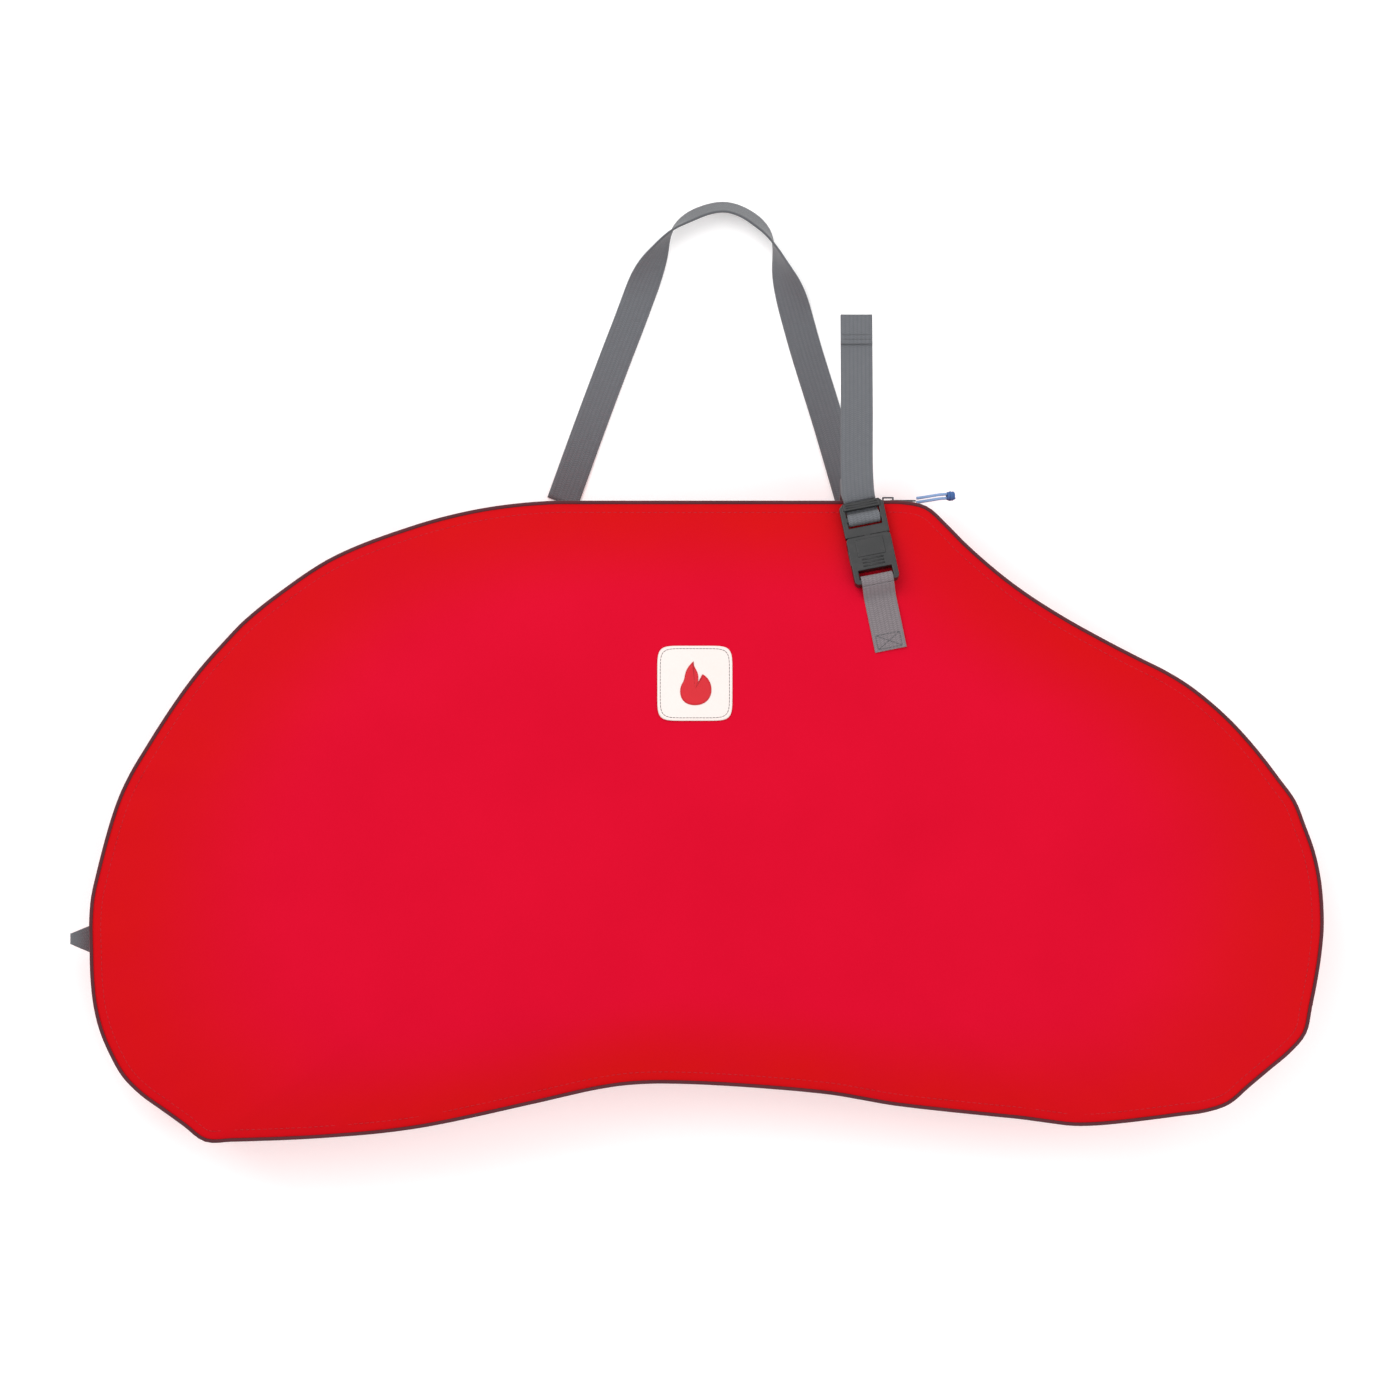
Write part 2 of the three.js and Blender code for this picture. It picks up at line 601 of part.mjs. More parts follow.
function socketGeometry() {
  const low = BUCKLE_WALL;
  const high = BUCKLE_THICK - BUCKLE_WALL;
  const slotBottom = SOCKET_BOTTOM + SOCKET_BAR;
  const rim = polygon(roundedBox(-BUCKLE_HALF, SOCKET_BOTTOM, BUCKLE_HALF, SOCKET_MOUTH, CHAMFER));
  const body = plate(rim, 0, BUCKLE_THICK);
  const cuts = [
    [[-CAVITY_HALF, CAVITY_BOTTOM, low], [CAVITY_HALF, SOCKET_MOUTH + 1, high]],
    [[-BUCKLE_WIDTH, WINDOW_BOTTOM, low], [BUCKLE_WIDTH, WINDOW_TOP, high]],
    [[-SLOT_HALF, slotBottom, -1], [SLOT_HALF, slotBottom + SOCKET_SLOT_LENGTH, BUCKLE_THICK + 1]],
  ];
  const cutters = cuts.map(([from, to]) => toManifold(boxBetween(from, to)));
  return fromManifold(cutters.reduce((solid, cutter) => solid.subtract(cutter), toManifold(body)));
}

// The strap and its tail lie one above the other under the ladder's end bar.
const STRAP_LEVEL = GAP + WEBBING_THICK / 2;
const TAIL_LEVEL = STRAP_LEVEL + GAP + WEBBING_THICK;
const END_BAR_LOW = TAIL_LEVEL + WEBBING_THICK / 2 + GAP;
const END_BAR_START = LADDER_SLOTS[1] + LADDER_SLOT_LENGTH;

function plugGeometry() {
  const bottom = SOCKET_MOUTH + GAP;
  const prong = PRONG_WIDTH / 2;
  const shape = polygon([
    [-BUCKLE_HALF, bottom], [-prong, bottom], [-prong, PRONG_END], [prong, PRONG_END], [prong, bottom],
    [BUCKLE_HALF, bottom], [BUCKLE_HALF, PLUG_TOP - CHAMFER], [BUCKLE_HALF - CHAMFER, PLUG_TOP],
    [-BUCKLE_HALF + CHAMFER, PLUG_TOP], [-BUCKLE_HALF, PLUG_TOP - CHAMFER],
  ]);
  LADDER_SLOTS.forEach((start) => {
    const end = start + LADDER_SLOT_LENGTH;
    shape.holes.push(hole([[-SLOT_HALF, start], [-SLOT_HALF, end], [SLOT_HALF, end], [SLOT_HALF, start]]));
  });
  const arch = boxBetween([-SLOT_HALF, END_BAR_START - 1, 0], [SLOT_HALF, PLUG_TOP + 1, END_BAR_LOW]);
  const ridge = boxBetween(
    [CHAMFER - BUCKLE_HALF, END_BAR_START, PLUG_HIGH - GAP],
    [BUCKLE_HALF - CHAMFER, PLUG_TOP, PLUG_HIGH + END_BAR_RISE],
  );
  const frame = toManifold(plate(shape, PLUG_LOW, PLUG_HIGH));
  return fromManifold(frame.subtract(toManifold(arch)).add(toManifold(ridge)));
}

// Each arm bows out from its root and ends in a barb that a slope keeps clear of the window's edge.
const ARM_REACH = CAVITY_HALF - GAP;

function armGeometry(side) {
  const root = SOCKET_MOUTH;
  const points = [
    [ARM_ROOT, root], [ARM_ROOT + 4.5, root], [ARM_REACH - 1.6, 1], [ARM_REACH - 0.2, WINDOW_TOP - GAP],
    [ARM_REACH + 0.7, WINDOW_BOTTOM + 4], [ARM_REACH - 1.5, PRONG_END], [ARM_REACH - 5, PRONG_END - 0.8],
    [ARM_REACH - 5.4, -12], [ARM_ROOT + 2.6, -4], [ARM_ROOT + 0.4, 1],
  ];
  return plate(polygon(points.map(([x, y]) => [side * x, y])), PLUG_LOW, PLUG_HIGH);
}

add("buckle_socket", socketGeometry(), "buckle", buckle);
add("buckle_plug", plugGeometry(), "buckle", buckle);
add("latch_arm_left", armGeometry(-1), "buckle", buckle);
add("latch_arm_right", armGeometry(1), "buckle", buckle);

// ---------------------------------------------------------------- closing strap, tail and anchor
const BUCKLE_ACROSS = new THREE.Vector3(1, 0, 0).applyQuaternion(buckle.quaternion);
const EAST = new THREE.Vector3(1, 0, 0);

function onBuckle(x, y, z) {
  return buckle.localToWorld(new THREE.Vector3(x, y, z)).toArray();
}

// From the rear wall the strap passes outside the slider and comes down on the buckle's ladder bar.
function strapGeometry() {
  const rootOut = FACE + GAP + WEBBING_THICK / 2;
  const out = (offset, z) => [STRAP_X, TOP_EDGE_Y + offset, z];
  const path = curveThrough([
    out(rootOut, 8), out(rootOut + 0.05, 17), out(STRAP_BULGE * 0.4, ZIP_LEVEL - 18),
    out(STRAP_BULGE - 2, ZIP_LEVEL - 6), out(STRAP_BULGE - 1, ZIP_LEVEL + 6),
    out(STRAP_BULGE * 0.66, (ZIP_LEVEL + BAG_DEPTH) / 2 + 3), out(6, BAG_DEPTH - 2),
    onBuckle(0, PLUG_TOP + 5, STRAP_LEVEL), onBuckle(0, PLUG_TOP + BAR_GAP, STRAP_LEVEL),
  ]);
  return ribbon({
    width: WEBBING_WIDTH,
    thickness: WEBBING_THICK,
    path,
    across: (t) => EAST.clone().lerp(BUCKLE_ACROSS, smoothStep(0.75, 1, t)),
    steps: 26,
  });
}

function tailGeometry() {
  const start = onBuckle(0, PLUG_TOP + TAIL_GAP, TAIL_LEVEL);
  const tip = TOP_EDGE_Y + TAIL_REACH;
  const fall = (share) => start[2] - TAIL_DROOP * share;
  const path = curveThrough([
    start, onBuckle(0, PLUG_TOP + 6, TAIL_LEVEL + 0.6), [STRAP_X, TOP_EDGE_Y + 22, fall(0.05)],
    [STRAP_X, TOP_EDGE_Y + 70, fall(0.28)], [STRAP_X, TOP_EDGE_Y + 0.78 * TAIL_REACH, fall(0.66)],
    [STRAP_X, tip, fall(1)],
  ]);
  return ribbon({
    width: WEBBING_WIDTH,
    thickness: WEBBING_THICK,
    path,
    across: (t) => BUCKLE_ACROSS.clone().lerp(EAST, smoothStep(0, 0.15, t)),
    steps: 25,
    thicken: (t) => (t > HEM_SHARE ? 2 : 1),
  });
}

function anchorGeometry() {
  const rest = (x, y) => [x, y, panelTop(x, y) + GAP + WEBBING_THICK / 2 + 0.1];
  const [endX, endY] = ANCHOR_END;
  const start = onBuckle(0, SOCKET_BOTTOM - BAR_GAP, 2.6);
  const between = (share) => rest(start[0] + (endX - start[0]) * share, start[1] + (endY - start[1]) * share);
  const free = onBuckle(0, SOCKET_BOTTOM - 5, 2.4);
  const path = curveThrough([start, free, between(0.5), between(0.75), between(1)]);
  const flat = (t) => {
    const at = path.getPointAt(t);
    const onPanel = path.getTangentAt(t).cross(panelNormal(at.x, at.y));
    return BUCKLE_ACROSS.clone().lerp(onPanel.negate(), smoothStep(0, 0.4, t));
  };
  return ribbon({ width: WEBBING_WIDTH, thickness: WEBBING_THICK, path, across: flat, steps: 6 });
}

add("closing_strap", strapGeometry(), "webbing");
add("strap_tail", tailGeometry(), "webbing");
add("anchor_webbing", anchorGeometry(), "webbing");

// ---------------------------------------------------------------- grab tab at the zip's left end
function splineLoop(path, [start, ...rest]) {
  path.moveTo(...start);
  path.splineThru(rest.map(([x, z]) => new THREE.Vector2(x, z)));
  return path;
}

function tabGeometry() {
  const web = WEBBING_THICK;
  const slack = TAB_OPENING / 2;
  const half = slack + web;
  const profile = splineLoop(new THREE.Shape(), [
    [0, -web], [-6, -half], [-14, -half], [-TAB_LENGTH, 0], [-14, half], [-6, half], [0, web],
  ]);
  profile.closePath();
  profile.holes.push(splineLoop(new THREE.Path(), [
    [-4, 0], [-7, slack], [-13, slack], [-TAB_LENGTH + web, 0], [-13, -slack], [-7, -slack], [-4, 0],
  ]));
  const geometry = plate(profile, -TAB_WIDTH / 2, TAB_WIDTH / 2, 3);
  const place = geometry.attributes.position;
  for (let i = 0; i < place.count; i += 1) {
    const narrow = THREE.MathUtils.lerp(1, TAB_TIP_WIDTH / TAB_WIDTH, -place.getX(i) / TAB_LENGTH);
    place.setZ(i, place.getZ(i) * narrow);
  }
  geometry.rotateX(Math.PI / 2);
  return geometry;
}

const tab = add("grab_tab", tabGeometry(), "webbing");
const tabRoot = outlineAt(OUTLINE_STEPS - TAB_WIDTH / 2 / STEP_LENGTH - STEP_GAP, FACE + GAP);
tab.position.set(tabRoot.x - GAP, tabRoot.y, ZIP_LEVEL);

// ---------------------------------------------------------------- folded blanket and its pull loops
const BLANKET_BOTTOM = FABRIC + GAP;
const BLANKET_TOP = BAG_DEPTH - BLANKET_HEADROOM;
const BLANKET_PITCH = (BLANKET_TOP - BLANKET_BOTTOM + BLANKET_FOLD_GAP) / BLANKET_FOLDS;
const BLANKET_FOLD_THICK = BLANKET_PITCH - BLANKET_FOLD_GAP;

// Corner points of the zigzag, up its left side and back down its right side.
function serpentine(half) {
  const left = [];
  const right = [];
  for (let fold = 0; fold < BLANKET_FOLDS; fold += 1) {
    const bottom = fold * BLANKET_PITCH;
    const top = bottom + BLANKET_FOLD_THICK;
    left.push([-half, bottom], [-half, top]);
    right.push([half, bottom], [half, top]);
    if (fold === BLANKET_FOLDS - 1) break;
    const slot = [[0, top], [0, top + BLANKET_FOLD_GAP]];
    if (fold % 2 === 0) left.push(...slot.map(([, z]) => [half - BLANKET_FOLD_THICK, z]));
    else right.push(...slot.map(([, z]) => [-half + BLANKET_FOLD_THICK, z]));
  }
  return [...left, ...right.reverse()];
}

// One zigzag of layers, joined by a turn at alternate ends.
function blanketGeometry() {
  const geometry = plate(polygon(serpentine(BLANKET_LENGTH / 2)), -BLANKET_WIDTH / 2, BLANKET_WIDTH / 2);
  geometry.rotateX(Math.PI / 2);
  geometry.translate(BLANKET_CENTRE[0], BLANKET_CENTRE[1], BLANKET_BOTTOM);
  return geometry;
}

add("blanket", blanketGeometry(), "blanket");

LOOP_CENTRES.forEach(([x, y], index) => {
  const halfX = LOOP_WIDTH / 2;
  const halfY = LOOP_LENGTH / 2;
  const innerX = halfX - LOOP_BAND;
  const innerY = halfY - LOOP_BAND;
  const shape = polygon(roundedBox(-halfX, -halfY, halfX, halfY, LOOP_CORNER));
  shape.holes.push(hole(roundedBox(-innerX, -innerY, innerX, innerY, LOOP_CORNER / 2).reverse()));
  const geometry = plate(shape, 0, LOOP_THICK);
  geometry.rotateZ(Math.PI / 6);
  geometry.translate(x, y - LOOP_LENGTH / 2, BLANKET_TOP + GAP);
  add(`blanket_loop_${index + 1}`, geometry, "loop");
});

// ---------------------------------------------------------------- sewn badge with a plain flame
// Lays a flat shape on the swollen panel at a height above it.
function onPanel(shape, height, thickness) {
  const geometry = plate(shape, height, height + thickness);
  const place = geometry.attributes.position;
  for (let i = 0; i < place.count; i += 1) {
    const x = place.getX(i) + BADGE_AT[0];
    const y = place.getY(i) + BADGE_AT[1];
    place.setXYZ(i, x, y, place.getZ(i) + badgeLevel(y));
  }
  return geometry;
}

// The badge is stiff, so it lies as a flat plate that leans with the panel under it.
function badgeLevel(y) {
  const half = BADGE_SIZE / 2;
  const low = panelTop(BADGE_AT[0], BADGE_AT[1] - half);
  const high = panelTop(BADGE_AT[0], BADGE_AT[1] + half);
  const middle = panelTop(...BADGE_AT);
  return middle + (high - low) * (y - BADGE_AT[1]) / BADGE_SIZE;
}

function flameShape() {
  const shape = new THREE.Shape();
  const tall = FLAME_HEIGHT / 2;
  shape.moveTo(0, -tall);
  shape.bezierCurveTo(16, -tall, 16, 2, 6, 7);
  shape.bezierCurveTo(5, 3, 3, 3, 2, 0);
  shape.bezierCurveTo(5, 9, -2, 12, -1, tall);
  shape.bezierCurveTo(-9, 10, -7, 5, -9, 1);
  shape.bezierCurveTo(-13, -4, -13, -tall, 0, -tall);
  return shape;
}

const BADGE_HALF = BADGE_SIZE / 2;
const badgeShape = polygon(roundedBox(-BADGE_HALF, -BADGE_HALF, BADGE_HALF, BADGE_HALF, BADGE_CORNER));
add("badge", onPanel(badgeShape, GAP, BADGE_THICK), "badge");
add("badge_flame", onPanel(flameShape(), 2 * GAP + BADGE_THICK, BADGE_THICK), "flame");

export default bag;
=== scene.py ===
"""Looks of a car fire blanket in its zipped carry bag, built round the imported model."""

import json
import logging
import math
from collections.abc import Callable, Sequence
from dataclasses import dataclass
from enum import Enum

import bmesh
import bpy
from mathutils import Matrix, Vector, noise


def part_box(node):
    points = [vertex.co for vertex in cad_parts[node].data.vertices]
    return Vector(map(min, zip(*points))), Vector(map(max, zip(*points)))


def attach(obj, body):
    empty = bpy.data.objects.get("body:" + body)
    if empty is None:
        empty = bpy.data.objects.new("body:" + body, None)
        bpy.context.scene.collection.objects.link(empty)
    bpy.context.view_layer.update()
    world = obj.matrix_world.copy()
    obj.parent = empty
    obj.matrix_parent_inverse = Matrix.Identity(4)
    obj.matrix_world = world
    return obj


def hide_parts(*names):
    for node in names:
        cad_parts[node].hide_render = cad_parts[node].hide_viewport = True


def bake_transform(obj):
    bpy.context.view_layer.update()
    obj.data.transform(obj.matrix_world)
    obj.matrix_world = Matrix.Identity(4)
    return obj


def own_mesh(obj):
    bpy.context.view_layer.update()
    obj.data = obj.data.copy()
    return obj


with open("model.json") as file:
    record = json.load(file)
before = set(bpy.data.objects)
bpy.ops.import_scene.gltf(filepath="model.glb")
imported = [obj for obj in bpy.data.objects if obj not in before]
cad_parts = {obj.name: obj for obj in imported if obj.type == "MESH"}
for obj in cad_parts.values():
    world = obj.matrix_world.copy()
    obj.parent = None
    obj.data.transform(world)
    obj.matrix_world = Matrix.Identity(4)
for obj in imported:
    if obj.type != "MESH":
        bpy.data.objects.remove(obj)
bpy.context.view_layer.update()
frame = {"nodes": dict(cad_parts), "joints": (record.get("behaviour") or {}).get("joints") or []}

LOG = logging.getLogger("fire_blanket")
MM = 0.001
UP = Vector((0.0, 0.0, 1.0))
EAST = Vector((1.0, 0.0, 0.0))

GRID_WELD = 0.002 * MM  # points of a grid nearer than this become one
SOLID_WELD = 0.001 * MM  # the same for a solid of the frame
FLAT_ANGLE = math.radians(2)  # faces that meet flatter than this become one
SHARP_ANGLE = math.radians(28)  # edges sharper than this are rounded
SPLINE_STEPS = 24  # points that a smooth path gets between two chosen ones
CORD_SIDES = 10
THIN_SIDES = 6  # sides of a thread or a coil's pin

Place = Callable[[float, float], Vector]


# ------------------------------------------------------------------ mesh helpers
class Facing(Enum):
    """Which way the faces of an open or closed surface point."""

    AS_MADE = "as made"
    UPWARD = "upward"
    OUTWARD = "outward"
    CLOSED = "closed"


def settle_normals(bm: bmesh.types.BMesh, facing: Facing) -> None:
    """Turns the faces of a surface the way that it says.

    Args:
        bm: the mesh being built.
        facing: the wanted direction.
    """
    if facing is Facing.AS_MADE:
        return
    bmesh.ops.recalc_face_normals(bm, faces=bm.faces[:])
    if facing is Facing.CLOSED:
        return
    total = 0.0
    for face in bm.faces:
        centre = face.calc_center_median()
        wanted = UP if facing is Facing.UPWARD else Vector((centre.x, centre.y, 0.0))
        total += face.normal.dot(wanted) * face.calc_area()
    if total < 0.0:
        bmesh.ops.reverse_faces(bm, faces=bm.faces[:])


def finish_mesh(bm: bmesh.types.BMesh, name: str, smooth: bool = True) -> bpy.types.Object:
    """Makes an object at the origin from a finished bmesh.

    Args:
        bm: the mesh, which is freed here.
        name: the piece's name.
        smooth: whether its faces are shaded smooth.

    Returns:
        The new object, linked to the scene.
    """
    for face in bm.faces:
        face.smooth = smooth
    mesh = bpy.data.meshes.new(name)
    bm.to_mesh(mesh)
    bm.free()
    piece = bpy.data.objects.new(name, mesh)
    bpy.context.scene.collection.objects.link(piece)
    return piece


def mapped_grid(
    name: str,
    columns: int,
    rows: int,
    place: Place,
    measure: Callable[[float, float], tuple[float, float]],
    facing: Facing,
    cap: bool = False,
) -> bpy.types.Object:
    """Bends a flat grid into a surface, welds what meets, and lays its UV map in metres.

    Args:
        name: the piece's name.
        columns: steps along the grid's first direction.
        rows: steps along its second direction.
        place: the point of a pair of shares from 0 to 1.
        measure: the UV pair of the same shares.
        facing: which way the faces point.
        cap: whether open ends are filled.

    Returns:
        The new object.
    """
    bm = bmesh.new()
    bmesh.ops.create_grid(bm, x_segments=columns, y_segments=rows, size=0.5)
    uv_layer = bm.loops.layers.uv.new("UVMap")
    share = {vert: (vert.co.x + 0.5, vert.co.y + 0.5) for vert in bm.verts}
    for face in bm.faces:
        for loop in face.loops:
            loop[uv_layer].uv = measure(*share[loop.vert])
    for vert, (a, b) in share.items():
        vert.co = place(a, b)
    bmesh.ops.remove_doubles(bm, verts=bm.verts[:], dist=GRID_WELD)
    if cap:
        rims = [edge for edge in bm.edges if edge.is_boundary]
        bmesh.ops.holes_fill(bm, edges=rims, sides=0)
    settle_normals(bm, facing)
    return finish_mesh(bm, name)


def thicken(piece: bpy.types.Object, thickness: float, offset: float = -1.0) -> None:
    """Gives a cloth surface its thickness.

    Args:
        piece: the surface.
        thickness: in metres.
        offset: -1 grows it inward, 1 outward, 0 both ways.
    """
    solid = piece.modifiers.new("thickness", "SOLIDIFY")
    solid.thickness = thickness
    solid.offset = offset
    solid.use_even_offset = False


def set_attribute(piece: bpy.types.Object, name: str, value: Callable[[Vector], float]) -> None:
    """Writes a value for each vertex, which a material can read.

    Args:
        piece: the object.
        name: the attribute's name.
        value: the number for a vertex position.
    """
    layer = piece.data.attributes.new(name, "FLOAT", "POINT")
    layer.data.foreach_set("value", [value(vert.co) for vert in piece.data.vertices])


@dataclass(frozen=True)
class Station:
    """One place along a sweep: its middle and the two directions of its section."""

    at: Vector
    side: Vector
    up: Vector


def sweep(
    name: str,
    stations: Sequence[Station],
    section: Sequence[tuple[float, float]],
    closed: bool = False,
) -> bpy.types.Object:
    """Carries a closed section along stations, and caps its ends unless it closes on itself.

    Args:
        name: the piece's name.
        stations: the places along the way.
        section: points across, in metres, as side and up distances.
        closed: whether the last station joins the first.

    Returns:
        The swept object, with a UV map in metres.
    """
    count = len(stations)
    rows = count if closed else count - 1
    around = [0.0]
    for k, point in enumerate(section):
        after = section[(k + 1) % len(section)]
        around.append(around[-1] + math.dist(point, after))
    along = [0.0]
    for k in range(rows):
        along.append(along[-1] + (stations[(k + 1) % count].at - stations[k].at).length)

    def place(a: float, b: float) -> Vector:
        """The swept point of a pair of shares."""
        station = stations[round(b * rows) % count]
        x, z = section[round(a * len(section)) % len(section)]
        return station.at + station.side * x + station.up * z

    def measure(a: float, b: float) -> tuple[float, float]:
        """Distance round the section and along the sweep."""
        return around[round(a * len(section))], along[round(b * rows)]

    return mapped_grid(name, len(section), rows, place, measure, Facing.CLOSED, cap=not closed)


def round_section(diameter: float, sides: int) -> list[tuple[float, float]]:
    """A round section of a cord.

    Args:
        diameter: in metres.
        sides: how many corners it has.

    Returns:
        Its corners.
    """
    turns = [2.0 * math.pi * k / sides for k in range(sides)]
    return [(math.cos(t) * diameter / 2, math.sin(t) * diameter / 2) for t in turns]


def webbing_section(width: float, thickness: float, steps: int = 8) -> list[tuple[float, float]]:
    """A flat band's section with soft edges and slightly raised selvedges.

    Args:
        width: across the band.
        thickness: through it.
        steps: points along each face.

    Returns:
        Its corners, once round.
    """
    half = thickness / 2
    reach = width / 2 - half
    hollow = 0.18  # how much thinner the middle is than the selvedges
    corner = 0.72 * half

    def rise(share: float) -> float:
        """How thick one face is at a share of the reach."""
        return half * (1.0 - hollow + hollow * abs(share) ** 6)

    shares = [-1.0 + 2.0 * k / steps for k in range(steps + 1)]
    top = [(reach * share, rise(share)) for share in shares]
    bottom = [(reach * share, -rise(share)) for share in reversed(shares)]
    edge = reach + corner
    right = [(edge, corner), (width / 2, 0.0), (edge, -corner)]
    left = [(-edge, -corner), (-width / 2, 0.0), (-edge, corner)]
    return [*top, *right, *bottom, *left]


def smooth_path(points: Sequence[Vector], count: int) -> list[Vector]:
    """Evenly spaced points on the smooth curve through a few chosen ones.

    Args:
        points: the chosen points.
        count: how many to return.

    Returns:
        Points from the first to the last.
    """
    ends = [points[0] * 2 - points[1], *points, points[-1] * 2 - points[-2]]
    fine: list[Vector] = []
    for k in range(1, len(ends) - 2):
        knots = [0.0]
        for a, b in zip(ends[k - 1:k + 2], ends[k:k + 3]):
            knots.append(knots[-1] + max(1e-6, (b - a).length ** 0.5))
        p0, p1, p2, p3 = ends[k - 1:k + 3]
        t0, t1, t2, t3 = knots
        for step in range(SPLINE_STEPS):
            t = t1 + (t2 - t1) * step / SPLINE_STEPS
            a1 = p0.lerp(p1, (t - t0) / (t1 - t0))
            a2 = p1.lerp(p2, (t - t1) / (t2 - t1))
            a3 = p2.lerp(p3, (t - t2) / (t3 - t2))
            b1 = a1.lerp(a2, (t - t0) / (t2 - t0))
            b2 = a2.lerp(a3, (t - t1) / (t3 - t1))
            fine.append(b1.lerp(b2, (t - t1) / (t2 - t1)))
    fine.append(points[-1].copy())
    return even_points(fine, count)


def even_points(line: Sequence[Vector], count: int) -> list[Vector]:
    """Points at equal distances along a line of points.

    Args:
        line: the line.
        count: how many to return.

    Returns:
        The evenly spaced points.
    """
    run = [0.0]
    for a, b in zip(line, line[1:]):
        run.append(run[-1] + (b - a).length)
    spaced: list[Vector] = []
    k = 0
    for step in range(count):
        target = run[-1] * step / (count - 1)
        while k < len(run) - 2 and run[k + 1] < target:
            k += 1
        share = (target - run[k]) / max(1e-9, run[k + 1] - run[k])
        spaced.append(line[k].lerp(line[k + 1], min(1.0, share)))
    return spaced


def smooth_step(low: float, high: float, t: float) -> float:
    """A smooth rise from 0 at low to 1 at high."""
    share = min(1.0, max(0.0, (t - low) / (high - low)))
    return share * share * (3 - 2 * share)


def path_length(line: Sequence[Vector]) -> float:
    """Length of a line of points, in metres."""
    return sum((b - a).length for a, b in zip(line, line[1:]))


def travels(line: Sequence[Vector]) -> list[Vector]:
    """The unit direction of travel at each point of a line."""
    last = len(line) - 1
    return [(line[min(last, k + 1)] - line[max(0, k - 1)]).normalized() for k in range(last + 1)]


def stations_along(line: Sequence[Vector], side: Callable[[float, Vector], Vector]) -> list[Station]:
    """Stations on a line, each square to it.

    Args:
        line: the middle line.
        side: the wanted width direction at a share of the way, given the direction of travel.

    Returns:
        One station for each point.
    """
    made: list[Station] = []
    last = len(line) - 1
    for k, (at, travel) in enumerate(zip(line, travels(line))):
        across = side(k / last, travel)
        across = (across - travel * across.dot(travel)).normalized()
        made.append(Station(at, across, across.cross(travel).normalized()))
    return made


def blocks(name: str, places: Sequence[Matrix], sides: int, smooth: bool = True) -> bpy.types.Object:
    """Many small equal rods as one piece, such as stitches or zip coils.

    Args:
        name: the piece's name.
        places: a matrix for each rod, which scales, turns and places a rod of unit size along Z.
        sides: corners of a rod's section.
        smooth: whether the rods are shaded smooth.

    Returns:
        The new object.
    """
    bm = bmesh.new()
    for matrix in places:
        bmesh.ops.create_cone(
            bm, cap_ends=True, segments=sides, radius1=0.5, radius2=0.5, depth=1.0, matrix=matrix
        )
    return finish_mesh(bm, name, smooth)


def rod_matrix(at: Vector, travel: Vector, length: float, width: float, height: float, up: Vector) -> Matrix:
    """The matrix that lays a unit rod along a direction.

    Args:
        at: its middle.
        travel: where its length points.
        length: along travel.
        width: across, square to up.
        height: along up.
        up: the direction of its height.

    Returns:
        The placing matrix.
    """
    axis = travel.normalized()
    side = axis.cross(up).normalized()
    top = side.cross(axis)
    turn = Matrix((side, top, axis)).transposed().to_4x4()
    return Matrix.Translation(at) @ turn @ Matrix.Diagonal((width, height, length, 1.0))


def softened_copy(node: str, name: str, radius: float, segments: int = 2) -> bpy.types.Object:
    """A welded copy of a CAD node with rounded edges.

    Args:
        node: the CAD node.
        name: the new piece's name.
        radius: of the rounded edges, in metres.
        segments: faces across each rounding.

    Returns:
        The copy, which has not been told yet what it replaces.
    """
    bm = bmesh.new()
    bm.from_mesh(frame["nodes"][node].data)
    bmesh.ops.remove_doubles(bm, verts=bm.verts[:], dist=SOLID_WELD)
    bmesh.ops.dissolve_limit(bm, angle_limit=FLAT_ANGLE, verts=bm.verts[:], edges=bm.edges[:])
    bmesh.ops.recalc_face_normals(bm, faces=bm.faces[:])
    sharp = [e for e in bm.edges if len(e.link_faces) == 2 and e.calc_face_angle(0.0) > SHARP_ANGLE]
    bmesh.ops.bevel(
        bm, geom=sharp, offset=radius, offset_type="OFFSET", affect="EDGES", segments=segments,
        profile=0.5, material=-1, clamp_overlap=True,
    )
    return finish_mesh(bm, name, smooth=False)


# ------------------------------------------------------------------ node helpers
Colour = tuple[float, float, float]


def linear(red: int, green: int, blue: int) -> Colour:
    """A screen colour as linear light.

    Args:
        red: 0 to 255.
        green: 0 to 255.
        blue: 0 to 255.

    Returns:
        Three linear values from 0 to 1.
    """
    def one(value: int) -> float:
        """One channel."""
        share = value / 255
        return share / 12.92 if share <= 0.04045 else ((share + 0.055) / 1.055) ** 2.4

    return one(red), one(green), one(blue)


